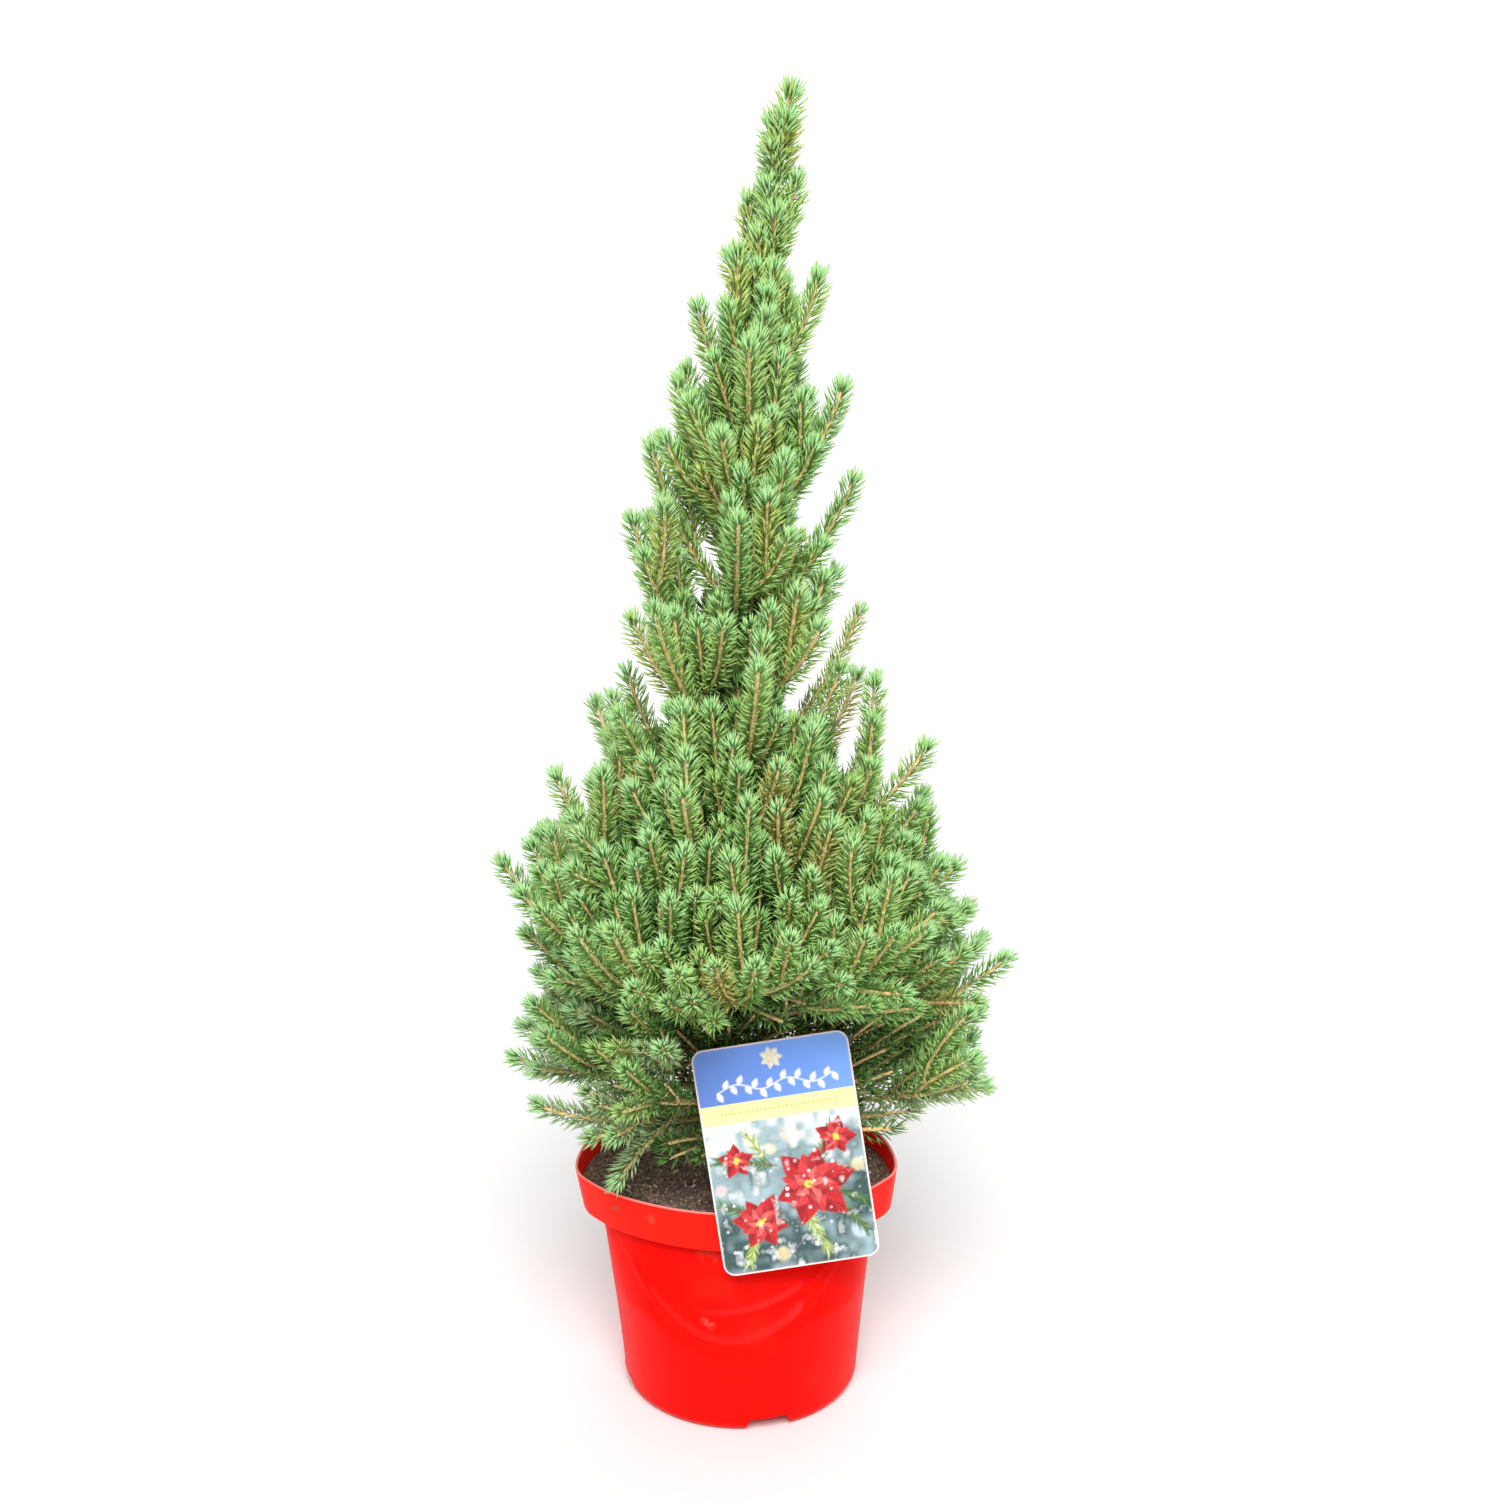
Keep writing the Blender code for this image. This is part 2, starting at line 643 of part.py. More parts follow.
def twig_candidate(stem, index, count, length, lean, rng):
    """One way a twig could leave its stem: out at TWIG_ANGLE, then turning up, leaning lean degrees off the trunk."""
    along = TWIG_FIRST + TWIG_STRETCH * (index + rng.uniform(*TWIG_PLACES)) / count
    start, control, end = stem.curve
    t = stem.first + (1 - stem.first) * along
    origin = bezier(start, control, end, t)
    tangent = unit((1 - t) * (control - start) + t * (end - control))
    side = unit(np.cross(tangent, (0, 0, 1)) if abs(tangent[2]) < 0.97 else np.array([1.0, 0, 0]))
    upper = np.cross(side, tangent)
    turn = GOLDEN_ANGLE * index + rng.uniform(-math.pi, math.pi)
    lateral = side * math.cos(turn) + upper * math.sin(turn)
    angle = math.radians(TWIG_ANGLE + rng.uniform(-TWIG_ANGLE_RANGE, TWIG_ANGLE_RANGE))
    out = tangent * math.cos(angle) + lateral * math.sin(angle)
    out[2] = abs(out[2])
    reach = length * (1 - TWIG_SHORTENING * along) * rng.uniform(*TWIG_LENGTHS)
    bend = origin + out * reach * TWIG_BEND
    away = unit(bend - trunk_at(bend[2]))
    lean = math.radians(lean + rng.uniform(*LEAN_RANGE))
    onward = unit(OUTWARD_SHARE * out + away * math.sin(lean) + np.array([0, 0, math.cos(lean)]))
    return origin, bend, bend + onward * reach * (1 - TWIG_BEND)


def twig_fits(twig, shoots, limbs):
    """Whether a twig keeps to the crown and to its own space, clear of limbs, openings, the label and the pot."""
    free = twig.samples[3:]
    limb_points, limb_radii, _ = limbs
    others = np.concatenate([s.samples for s in shoots if s.mass != twig.mass])
    own = np.concatenate([s.samples for s in shoots if s.mass == twig.mass])
    outer = twig.samples[min(5, len(twig.samples) - 1):]
    return not (
        outside_crown(free).any()
        or by_label_or_pot(free, TWIG_MARGIN).any()
        or in_opening(free, OPENING_MARGIN).any()
        or nearest(free, others).min() < TWIG_SPACING
        or nearest(free, limb_points).min() < limb_radii.max() + CORE_RADIUS
        or nearest(outer, own).min() < OWN_SPACING
    )


def grow_shoots(limbs):
    """The main stem of every mass, then its twigs, a round at a time so that no mass takes another's room."""
    shoots = [Shoot("leader", *(trunk_at(z) for z in LEADER_HEIGHTS))]
    plans = [("leader", *LEADER_TWIGS)]
    for tier in TIERS:
        for limb in tier.limbs:
            name = f"{tier.name}_{limb.place}"
            curve = limb_curve(limb)
            gap = GAP / np.linalg.norm(curve[2] - curve[0]) if tier.bare else 0
            shoots.append(Shoot(name, *curve, tier.bare + gap))
            plans.append((name, tier.twig_length, tier.lean, tier.twigs))
    stems = {shoot.mass: shoot for shoot in shoots}
    for index in range(max(count for *_, count in plans)):
        for order, (name, length, lean, count) in enumerate(plans):
            if index >= count:
                continue
            rng = np.random.default_rng((SEED, order, index))
            for _ in range(TWIG_TRIES):
                twig = Shoot(name, *twig_candidate(stems[name], index, count, length, lean, rng))
                if twig_fits(twig, shoots, limbs):
                    shoots.append(twig)
                    break
    return shoots


def core_radii(shoot, rings, others, limbs):
    """The core's radius at each ring, less where another mass or a limb is near."""
    limb_points, limb_radii, owners = limbs
    foreign = owners != shoot.mass
    room = (nearest(rings, others) - SHARE) / 2
    gaps = np.linalg.norm(rings[:, None] - limb_points[foreign][None], axis=2) - limb_radii[foreign]
    room = np.minimum(room, gaps.min(axis=1) - LIMB_CLEARANCE)
    radii = np.minimum(CORE_RADIUS, np.maximum(room, THINNEST_CORE))
    radii[0] = STEM_RADIUS
    radii[-1] *= CORE_TAPER
    return radii


def spike_tip(base, direction, length, own, others, limbs):
    """The furthest point a needle may reach before it comes nearer to another mass than to its own."""
    limb_points, limb_radii, _ = limbs
    for share in SPIKE_SHARES:
        tip = (base + direction * length * share)[None]
        clear = (np.linalg.norm(limb_points - tip, axis=1) - limb_radii).min() > LIMB_CLEARANCE
        if (
            clear
            and nearest(tip, others)[0] > nearest(tip, own)[0] + SHARE
            and not in_opening(tip, 0.0)[0]
            and not by_label_or_pot(tip, 0.0)[0]
        ):
            return tip[0]
    return base + direction * STUNTED_SPIKE


def shoot_mesh(shoot, own, others, limbs):
    """A three-sided tube along the shoot, whose faces are poked out into needles that lean forward."""
    rings = shoot.rings()
    radii = core_radii(shoot, rings, others, limbs)
    if shoot.first:
        radii[0] = BOUGH_TIP_RADIUS
    turns = [math.radians(RING_TWIST) * i for i in range(len(rings))]
    mesh = tube_mesh(f"{shoot.mass}_shoot", rings, radii, 0, SHOOT_SECTION, turns)
    shape = bmesh.new()
    shape.from_mesh(mesh)
    shape.normal_update()
    middles = (rings[1:] + rings[:-1]) / 2
    tangents = np.diff(rings, axis=0)
    tangents /= np.linalg.norm(tangents, axis=1)[:, None]
    root, tip = rings[0], rings[-1]
    lean = math.radians(SPIKE_LEAN)
    faces = [face for face in shape.faces if np.linalg.norm(np.array(face.calc_center_median()) - root) > CAP_SPAN]
    for face in faces:
        centre = np.array(face.calc_center_median())
        normal = np.array(face.normal)
        poked = bmesh.ops.poke(shape, faces=[face])["verts"][0]
        if np.linalg.norm(centre - tip) < CAP_SPAN:
            poked.co = spike_tip(centre, tangents[-1], TIP_SPIKE, own, others, limbs)
            continue
        segment = int(np.argmin(np.linalg.norm(middles - centre, axis=1)))
        along = (segment + 0.5) / len(middles)
        direction = unit(normal * math.sin(lean) + tangents[segment] * math.cos(lean))
        length = SPIKE_LENGTH * (ROOT_SPIKE_SHARE if segment == 0 else 1 - SPIKE_SHORTENING * along)
        poked.co = spike_tip(centre, direction, length, own, others, limbs)
    shape.to_mesh(mesh)
    shape.free()
    return mesh


def make_masses(shoots, limbs, trunk_clearance):
    """Each mass of foliage as one solid: its twigs joined to its stem, and the stem's root clear of the trunk."""
    direct = {f"{tier.name}_{limb.place}" for tier in TIERS if not tier.bare for limb in tier.limbs}
    for name in dict.fromkeys(shoot.mass for shoot in shoots):
        members = [shoot for shoot in shoots if shoot.mass == name]
        own = np.concatenate([shoot.samples for shoot in members])
        others = np.concatenate([shoot.samples for shoot in shoots if shoot.mass != name])
        meshes = [shoot_mesh(shoot, own, others, limbs) for shoot in members]
        mass = add_object(f"foliage_{name}", meshes[0], PARTS, NEEDLES)
        if len(meshes) > 1:
            twigs = new_collection(f"{name}_twigs")
            for index, mesh in enumerate(meshes[1:]):
                add_object(f"{name}_twig_{index}", mesh, twigs)
            boolean(mass, twigs, "UNION", "MANIFOLD")
            for twig in list(twigs.objects):
                bpy.data.objects.remove(twig)
            bpy.data.collections.remove(twigs)
        if name in direct:
            boolean(mass, trunk_clearance, "DIFFERENCE", "MANIFOLD")


def make_boughs(trunk_clearance):
    for tier in TIERS:
        for limb in tier.limbs if tier.bare else ():
            start, control, end = limb_curve(limb)
            points = bezier(start, control, end, np.linspace(0, tier.bare, BOUGH_POINTS))
            radii = np.linspace(BOUGH_RADIUS, BOUGH_TIP_RADIUS, BOUGH_POINTS)
            name = f"bough_{tier.name}_{limb.place}"
            bough = add_object(name, tube_mesh(name, points, radii, 1), PARTS, BARK)
            boolean(bough, trunk_clearance, "DIFFERENCE", "MANIFOLD")
            smooth(bough, ROUND_BARK)


clear_scene()
PARTS = new_collection("Potted dwarf alberta spruce")
CUTTERS = new_collection("Cutters")
SHOOT_SECTION = three_sided_section()
make_pot_and_soil()
make_label()
clearance = make_trunk()
make_boughs(clearance)
limb_lines = limb_space()
make_masses(grow_shoots(limb_lines), limb_lines, clearance)
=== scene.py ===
"""The looks of a potted dwarf alberta spruce: bark, twigs and needles, a squeezed red pot, compost and a card label.

Metres, +Z up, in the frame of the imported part. The front faces -Y. Every piece rides on the body root.
"""

import math
from collections import namedtuple

import bpy
import numpy as np
from mathutils import Matrix, Vector


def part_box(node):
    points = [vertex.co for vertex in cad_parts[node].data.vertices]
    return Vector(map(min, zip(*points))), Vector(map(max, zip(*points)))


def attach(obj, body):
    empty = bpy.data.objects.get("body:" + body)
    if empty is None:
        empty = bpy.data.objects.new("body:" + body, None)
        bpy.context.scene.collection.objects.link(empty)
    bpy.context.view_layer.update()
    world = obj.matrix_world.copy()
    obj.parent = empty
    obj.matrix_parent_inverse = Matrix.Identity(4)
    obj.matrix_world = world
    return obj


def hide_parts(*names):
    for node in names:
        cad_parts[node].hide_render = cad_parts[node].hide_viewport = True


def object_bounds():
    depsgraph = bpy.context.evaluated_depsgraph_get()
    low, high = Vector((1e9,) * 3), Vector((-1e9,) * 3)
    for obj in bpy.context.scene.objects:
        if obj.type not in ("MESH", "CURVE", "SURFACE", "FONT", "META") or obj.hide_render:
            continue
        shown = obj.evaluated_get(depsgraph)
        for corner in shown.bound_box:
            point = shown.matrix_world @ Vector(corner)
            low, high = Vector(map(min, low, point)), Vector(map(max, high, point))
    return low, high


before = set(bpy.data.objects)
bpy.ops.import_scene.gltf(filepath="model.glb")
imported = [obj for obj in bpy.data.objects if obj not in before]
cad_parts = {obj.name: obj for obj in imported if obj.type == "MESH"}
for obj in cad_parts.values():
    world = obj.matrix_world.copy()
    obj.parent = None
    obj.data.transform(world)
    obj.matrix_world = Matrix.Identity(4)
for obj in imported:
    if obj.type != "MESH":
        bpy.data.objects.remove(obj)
CAD_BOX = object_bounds()

bl_info = {
    "name": "Potted dwarf alberta spruce",
    "version": (1, 0, 0),
    "blender": (4, 5, 0),
    "location": "3D View > Sidebar > Spruce",
    "description": "Grows the needles, twigs and bark of a small potted spruce and dresses its pot and label",
    "category": "Add Mesh",
}

BODY = "root"
MM = 0.001
GOLDEN_ANGLE = math.radians(137.5)

# Trunk: centre line as (height, x), with the radius as (height over the soil, radius)
TRUNK_LINE = ((0.128, -0.002), (0.150, -0.003), (0.285, -0.010), (0.350, -0.006), (0.475, -0.003), (0.630, 0.009),
              (0.720, 0.021), (0.770, 0.029))
TRUNK_RADII = ((0.0, 0.0095), (0.004, 0.0074), (0.012, 0.0062), (0.035, 0.0056), (0.35, 0.0034), (0.592, 0.0012))
TRUNK_TIP = 0.718
SOIL_HEIGHT = 0.128
SOIL_SAG = 0.003
POT_HEIGHT = 0.140

# The rule that the solids' shoots grow by, which the finer twigs here carry on
GAP = 0.0003
LIMB_OUT = 0.70
LIMB_UP = 0.30
BOUGH_RADIUS = 0.0026
BOUGH_TIP_RADIUS = 0.0016
LEADER_HEIGHTS = (0.7183, 0.735, 0.761)
TWIG_FIRST = 0.10
TWIG_STRETCH = 0.72
TWIG_PLACES = (0.2, 0.8)
TWIG_ANGLE = 38
TWIG_ANGLE_RANGE = 8
TWIG_SHORTENING = 0.35
TWIG_LENGTHS = (0.85, 1.1)
TWIG_BEND = 0.3
OUTWARD_SHARE = 0.25
LEAN_RANGE = (-9, 14)
TWIG_TRIES = 90
TWIG_SPACING = 0.0110
OWN_SPACING = 0.0090
TWIG_MARGIN = 0.006
OPENING_MARGIN = 0.005
RIM_CLEARANCE = 0.003
CARD_BACK = 0.002
CARD_FRONT = 0.040
CORE_RADIUS = 0.0042
SAMPLE_PITCH = 0.003
SEED = 41

# How the rule is carried on, in passes over some of the tiers: the least room between finer twigs, the share of each
# that may lie nearer than that to others, its length as a share of the tier's, how many degrees more it leans out, how
# deep in the crown its tip stays, and the number of twigs as a share of the tier's. Then their tries and places, where
# they may leave a bough, how far above and below a limb's root the trunk carries them, and the height above which it
# is needled.
Pass = namedtuple("Pass", "tiers room hidden length lean depth share")
TOP = ("leader", "spire")
UPPER = ("crown",)
LOWER = ("middle", "broad", "low", "foot", "skirt")
FRONT = ("low", "foot", "skirt")
LOW = ("low",)
PASSES = (
    Pass(TOP, 0.0065, 0.45, 1.0, 2, 0.002, 1.2),
    Pass(UPPER, 0.0085, 0.4, 1.1, 4, 0.000, 1.2),
    Pass(LOWER, 0.0100, 0.35, 1.1, 4, 0.000, 1.2),
    Pass(FRONT, 0.0090, 0.35, 0.8, 26, 0.002, 0.8),
    Pass(UPPER, 0.0065, 0.35, 0.9, 4, 0.010, 1.2),
    Pass(LOWER, 0.0080, 0.35, 0.9, 8, 0.014, 1.2),
    Pass(FRONT, 0.0080, 0.35, 0.9, 12, 0.040, 1.0),
    Pass(LOW, 0.0085, 0.35, 0.75, 52, 0.004, 1.2),
)
FINE_TRIES = 14
FINE_PLACES = 6
BOUGH_FIRST = 0.14
TRUNK_STRETCH = 0.024
LOWEST_LEAN = 100
HIGHEST_TIP = 0.750
NEEDLED_TRUNK = 0.47
ROOM_PITCH = 0.002

# Outline that the twigs keep to: (height, x of its middle, radius)
CROWN = ((0.150, -0.011, 0.088), (0.172, -0.008, 0.100), (0.190, 0.012, 0.128), (0.215, 0.006, 0.137),
         (0.270, 0.014, 0.134), (0.330, -0.004, 0.126), (0.360, 0.004, 0.106), (0.400, 0.006, 0.094),
         (0.450, 0.003, 0.069), (0.500, 0.000, 0.059), (0.580, 0.004, 0.049), (0.610, 0.002, 0.034),
         (0.650, 0.008, 0.029), (0.690, 0.013, 0.020), (0.712, 0.019, 0.013), (0.740, 0.022, 0.011),
         (0.770, 0.028, 0.008))

# Openings in the crown, seen from VIEWPOINT: x and height where the sight line passes y = 0, half width, half height
VIEWPOINT = (0.0095, -1.25, 0.785)
OPENINGS = (
    (-0.019, 0.513, 0.007, 0.018),
    (0.043, 0.537, 0.007, 0.008),
    (-0.049, 0.425, 0.005, 0.011),
    (0.037, 0.433, 0.010, 0.011),
    (0.061, 0.403, 0.005, 0.014),
    (0.087, 0.390, 0.005, 0.024),
    (-0.014, 0.640, 0.003, 0.011),
    (-0.084, 0.400, 0.005, 0.006),
)

# A tier of limbs: the share of each limb that is bare bough, its twigs, how long they are and by how many degrees they
# lean out at their tips, how many finer twigs fill its masses, and the limbs as (place, root height, bearing, reach, tip height)
Tier = namedtuple("Tier", "name bare twigs twig_length lean finer limbs")
Limb = namedtuple("Limb", "place root bearing reach tip")
TIERS = (
    Tier("spire", 0, 2, 0.032, 5, 12, (
        Limb("right_1", 0.672, -8, 0.010, 0.716),
        Limb("left", 0.640, 178, 0.013, 0.706),
        Limb("back", 0.628, 85, 0.026, 0.690),
        Limb("right_2", 0.602, -5, 0.029, 0.666),
    )),
    Tier("crown", 0, 3, 0.050, 6, 22, (
        Limb("left_1", 0.592, -172, 0.033, 0.650),
        Limb("front_1", 0.572, -95, 0.043, 0.635),
        Limb("back_1", 0.556, 70, 0.048, 0.618),
        Limb("right_1", 0.530, 0, 0.049, 0.607),
        Limb("left_2", 0.522, -165, 0.041, 0.611),
        Limb("back_2", 0.505, 130, 0.056, 0.582),
        Limb("left_3", 0.486, 176, 0.052, 0.574),
        Limb("right_2", 0.482, 4, 0.060, 0.555),
        Limb("front_2", 0.470, -92, 0.063, 0.546),
    )),
    Tier("middle", 0, 4, 0.060, 5, 34, (
        Limb("left_1", 0.440, -179, 0.060, 0.533),
        Limb("right_1", 0.428, -52, 0.074, 0.487),
        Limb("front_1", 0.408, -127, 0.072, 0.496),
        Limb("back", 0.418, 84, 0.082, 0.506),
        Limb("right_3", 0.372, -14, 0.062, 0.452),
        Limb("front_2", 0.366, -80, 0.080, 0.470),
        Limb("left_2", 0.352, 172, 0.060, 0.444),
    )),
    Tier("lone", 0, 0, 0.042, 20, 0, (
        Limb("right_1", 0.388, 8, 0.071, 0.480),
        Limb("right_2", 0.280, 14, 0.086, 0.415),
    )),
    Tier("broad", 0, 5, 0.068, 6, 48, (
        Limb("back_1", 0.338, 45, 0.104, 0.424),
        Limb("right", 0.322, -14, 0.112, 0.410),
        Limb("back_2", 0.316, 140, 0.106, 0.408),
        Limb("front_1", 0.306, -105, 0.096, 0.404),
        Limb("front_2", 0.298, -60, 0.098, 0.400),
        Limb("left", 0.282, -172, 0.099, 0.389),
    )),
    Tier("low", 0.40, 5, 0.070, 17, 56, (
        Limb("back_1", 0.262, 70, 0.130, 0.345),
        Limb("right", 0.264, -5, 0.131, 0.334),
        Limb("front_3", 0.252, -82, 0.124, 0.318),
        Limb("left", 0.246, -176, 0.129, 0.335),
        Limb("front_1", 0.240, -120, 0.120, 0.330),
        Limb("front_2", 0.234, -42, 0.126, 0.322),
        Limb("back_2", 0.232, 128, 0.136, 0.312),
    )),
    Tier("foot", 0.40, 4, 0.064, 46, 56, (
        Limb("right_1", 0.212, -2, 0.164, 0.274),
        Limb("back_1", 0.196, 40, 0.150, 0.232),
        Limb("left", 0.190, -179, 0.126, 0.210),
        Limb("back_2", 0.184, 100, 0.142, 0.222),
        Limb("right_2", 0.178, 2, 0.150, 0.188),
    )),
    Tier("skirt", 0, 4, 0.050, 72, 30, (
        Limb("front_1", 0.172, -150, 0.124, 0.208),
        Limb("front_2", 0.172, -30, 0.108, 0.190),
    )),
    Tier("droop", 0, 0, 0.046, 90, 0, (
        Limb("front", 0.198, -140, 0.087, 0.157),
    )),
)
LEADER = Tier("leader", 0, 0, 0.020, 5, 20, ())

# Pieces of foliage: the tiers in each, and the outer shoots' colours dealt out in it as (needles, share). A shoot whose
# tip lies deeper than SHADE_DEPTH in the crown is dealt the shade green, which is painted shade for the dark inside of
# the crown, and a piece has at most PIECE_NEEDLES.
SHADE_DEPTH = 0.030
INNER_DEPTH = 0.034
TIP_DEPTH = 0.020
PIECE_NEEDLES = 31000
Spray = namedtuple("Spray", "name tiers deal")
SPRAYS = (
    Spray("spire", ("leader", "spire"), (("fresh", 0.3), ("mid", 0.7))),
    Spray("crown", ("crown",), (("fresh", 0.25), ("mid", 0.55), ("deep", 0.2))),
    Spray("middle", ("middle", "lone"), (("fresh", 0.15), ("mid", 0.6), ("deep", 0.25))),
    Spray("broad", ("broad",), (("mid", 0.6), ("deep", 0.3), ("olive", 0.1))),
    Spray("low", ("low",), (("mid", 0.6), ("deep", 0.35), ("olive", 0.05))),
    Spray("foot", ("foot",), (("mid", 0.4), ("deep", 0.3), ("grey", 0.25), ("olive", 0.05))),
    Spray("skirt", ("skirt", "droop"), (("grey", 0.6), ("deep", 0.4))),
)
NEEDLE_COLOURS = ("fresh", "mid", "deep", "olive", "grey", "shade", "tip", "straw")


def linear(colour):
    """The linear value of an sRGB hex colour."""
    parts = np.array([int(colour[i : i + 2], 16) for i in (1, 3, 5)]) / 255
    return tuple(np.where(parts <= 0.04045, parts / 12.92, ((parts + 0.055) / 1.055) ** 2.4))


def length_property(name, description, default):
    return bpy.props.FloatProperty(name=name, description=description, default=default, unit="LENGTH", precision=5)


def colour_property(name, description, colour):
    return bpy.props.FloatVectorProperty(
        name=name, description=description, default=linear(colour), subtype="COLOR", min=0, max=1
    )


class SprucePotSettings(bpy.types.PropertyGroup):
    wall: length_property("Wall", "Thickness of the moulded wall", 0.0016)
    rim_radius: length_property("Rim radius", "Radius of the round pot's rim before it is squeezed", 0.092)
    lip_depth: length_property("Lip depth", "Height of the band under the rim", 0.026)
    shoulder_radius: length_property("Shoulder radius", "Radius of the wall just under the lip", 0.0798)
    foot_radius: length_property("Foot radius", "Radius of the wall at the foot", 0.0715)
    foot_rounding: length_property("Foot rounding", "Radius between the wall and the underside", 0.007)
    push_depth: length_property("Push depth", "How far the front is pushed in", 0.029)
    crease_height: length_property("Crease height", "Lowest height of the crease in the front", 0.052)
    fold_relief: length_property("Fold relief", "How far the folds along the crease stand out", 0.0014)
    red: colour_property("Plastic", "Colour of the moulded plastic", "#f00700")
    dirt: colour_property("Dirt", "Colour of the compost smeared on the plastic", "#a8523a")


class SpruceSoilSettings(bpy.types.PropertyGroup):
    crumbs: bpy.props.IntProperty(name="Crumbs", description="Loose crumbs on the compost", default=4200, min=0)
    crumb_size: length_property("Crumb size", "Radius of a large crumb", 0.0019)
    dark: colour_property("Peat", "Colour of the damp peat", "#6a5a50")
    brown: colour_property("Fibre", "Colour of the drier crumbs", "#957f70")
    fleck: colour_property("Flecks", "Colour of the pale bark flecks", "#e6d8c0")


class SpruceLabelSettings(bpy.types.PropertyGroup):
    width: length_property("Width", "Width of the card", 0.091)
    height: length_property("Height", "Height of the card", 0.134)
    corner: length_property("Corner", "Radius of the card's corners", 0.007)
    thickness: length_property("Thickness", "Thickness of the card", 0.0008)
    header: colour_property("Header", "Colour of the plain head band", "#78a4ff")
    band: colour_property("Band", "Colour of the band under it", "#f8f6ac")


class SpruceBarkSettings(bpy.types.PropertyGroup):
    relief: length_property("Relief", "Depth of the bark's pegs and furrows", 0.00035)
    bark: colour_property("Bark", "Colour of the trunk's bark", "#a98d6d")
    crack: colour_property("Furrows", "Colour between the scales", "#5f4a38")
    young: colour_property("Young wood", "Colour of this year's stems", "#f6d192")


class SpruceNeedleSettings(bpy.types.PropertyGroup):
    length: length_property("Length", "Length of a full needle", 0.0118)
    width: length_property("Width", "Width of a needle", 0.00112)
    pitch: length_property("Pitch", "Stem between one needle and the next", 0.00037)
    fresh: colour_property("Fresh", "Needles of the leader and the upper crown", "#c3d676")
    mid: colour_property("Mid", "Needles of most shoots", "#b4da80")
    deep: colour_property("Deep", "Needles of older shoots", "#9bca74")
    olive: colour_property("Olive", "Needles of a few yellower shoots", "#c3c674")
    grey: colour_property("Grey", "Needles of the lowest shoots", "#aac68c")
    # Painted shade: a darker green for needles of shoots deep inside the crown, where shade falls
    shade: colour_property("Shade", "Needles of shoots inside the crown", "#659046")
    tip: colour_property("Tips", "Needles in the rosettes at the tips", "#b2e09a")
    straw: colour_property("Straw", "Pale, dry needles here and there", "#dccf98")


class SpruceStageSettings(bpy.types.PropertyGroup):
    lens: bpy.props.FloatProperty(name="Lens", description="Focal length in millimetres", default=54.5)
    pitch: bpy.props.FloatProperty(
        name="Pitch", description="How far the camera looks down", default=math.radians(17.2), subtype="ANGLE"
    )
    flat: length_property("Flat floor", "Radius of the flat floor", 8.0)
    cove: length_property("Cove", "Radius of the curve from the floor up to the wall", 3.0)
    wall: length_property("Wall", "Height of the wall round the stage", 7.0)
    floor: colour_property("Floor", "Colour of the floor and the wall", "#ececec")
    sky: bpy.props.FloatProperty(name="Sky", description="Strength of the even studio light", default=0.27)
    key: bpy.props.FloatProperty(name="Key", description="Strength of the main light", default=2.9)


def add_node(tree, kind, inputs=None, **settings):
    """A node of a material with its settings, and its inputs set to values or linked to other nodes' outputs."""
    node = tree.nodes.new(kind)
    for key, value in settings.items():
        setattr(node, key, value)
    for key, value in (inputs or {}).items():
        if isinstance(value, bpy.types.NodeSocket):
            tree.links.new(value, node.inputs[key])
        else:
            node.inputs[key].default_value = value
    return node


def rgba(colour, factor=1.0):
    return (*(min(c * factor, 1.0) for c in colour), 1)


def plain_material(name, roughness, specular):
    """A Principled material with its numbers on the shader's own sockets."""
    material = bpy.data.materials.new(name)
    material.use_nodes = True
    tree = material.node_tree
    shader = tree.nodes["Principled BSDF"]
    shader.inputs["Roughness"].default_value = roughness
    shader.inputs["Specular IOR Level"].default_value = specular
    return material, tree, shader


def mixed(tree, factor, low, high):
    """The colour between two, by a factor that is a value or an output."""
    node = add_node(tree, "ShaderNodeMix", {"Factor": factor}, data_type="RGBA")
    for socket, value in ((node.inputs[6], low), (node.inputs[7], high)):
        if isinstance(value, bpy.types.NodeSocket):
            tree.links.new(value, socket)
        else:
            socket.default_value = value
    return node.outputs[2]


def ramp(tree, value, low, high):
    """0 below low, 1 above high and smooth between them."""
    node = add_node(tree, "ShaderNodeMapRange", {"Value": value, "From Min": low, "From Max": high})
    node.interpolation_type = "SMOOTHSTEP"
    return node.outputs["Result"]


def add_mesh(name, points, face_sets, materials, indices=None, smooth=True):
    """One object from an array of points and arrays of faces, each array with its own number of corners."""
    mesh = bpy.data.meshes.new(name)
    face_sets = [faces for faces in face_sets if len(faces)]
    corners = np.concatenate([faces.reshape(-1) for faces in face_sets]).astype(np.int32)
    sizes = np.concatenate([np.full(len(faces), faces.shape[1]) for faces in face_sets])
    starts = np.concatenate([[0], np.cumsum(sizes)[:-1]]).astype(np.int32)
    mesh.vertices.add(len(points))
    mesh.vertices.foreach_set("co", np.asarray(points, np.float32).reshape(-1))
    mesh.loops.add(len(corners))
    mesh.loops.foreach_set("vertex_index", corners)
    mesh.polygons.add(len(starts))
    mesh.polygons.foreach_set("loop_start", starts)
    for material in materials:
        mesh.materials.append(material)
    if indices is not None:
        mesh.polygons.foreach_set("material_index", np.concatenate(indices).astype(np.int32))
    mesh.update(calc_edges=True)
    mesh.validate()
    if smooth:
        mesh.shade_smooth()
    obj = bpy.data.objects.new(name, mesh)
    bpy.context.scene.collection.objects.link(obj)
    return obj


def dress(obj, slot, *nodes):
    """The piece rides on the body and stands for these nodes; slot is not used."""
    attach(obj, BODY)
    if nodes:
        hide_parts(*nodes)
    return obj


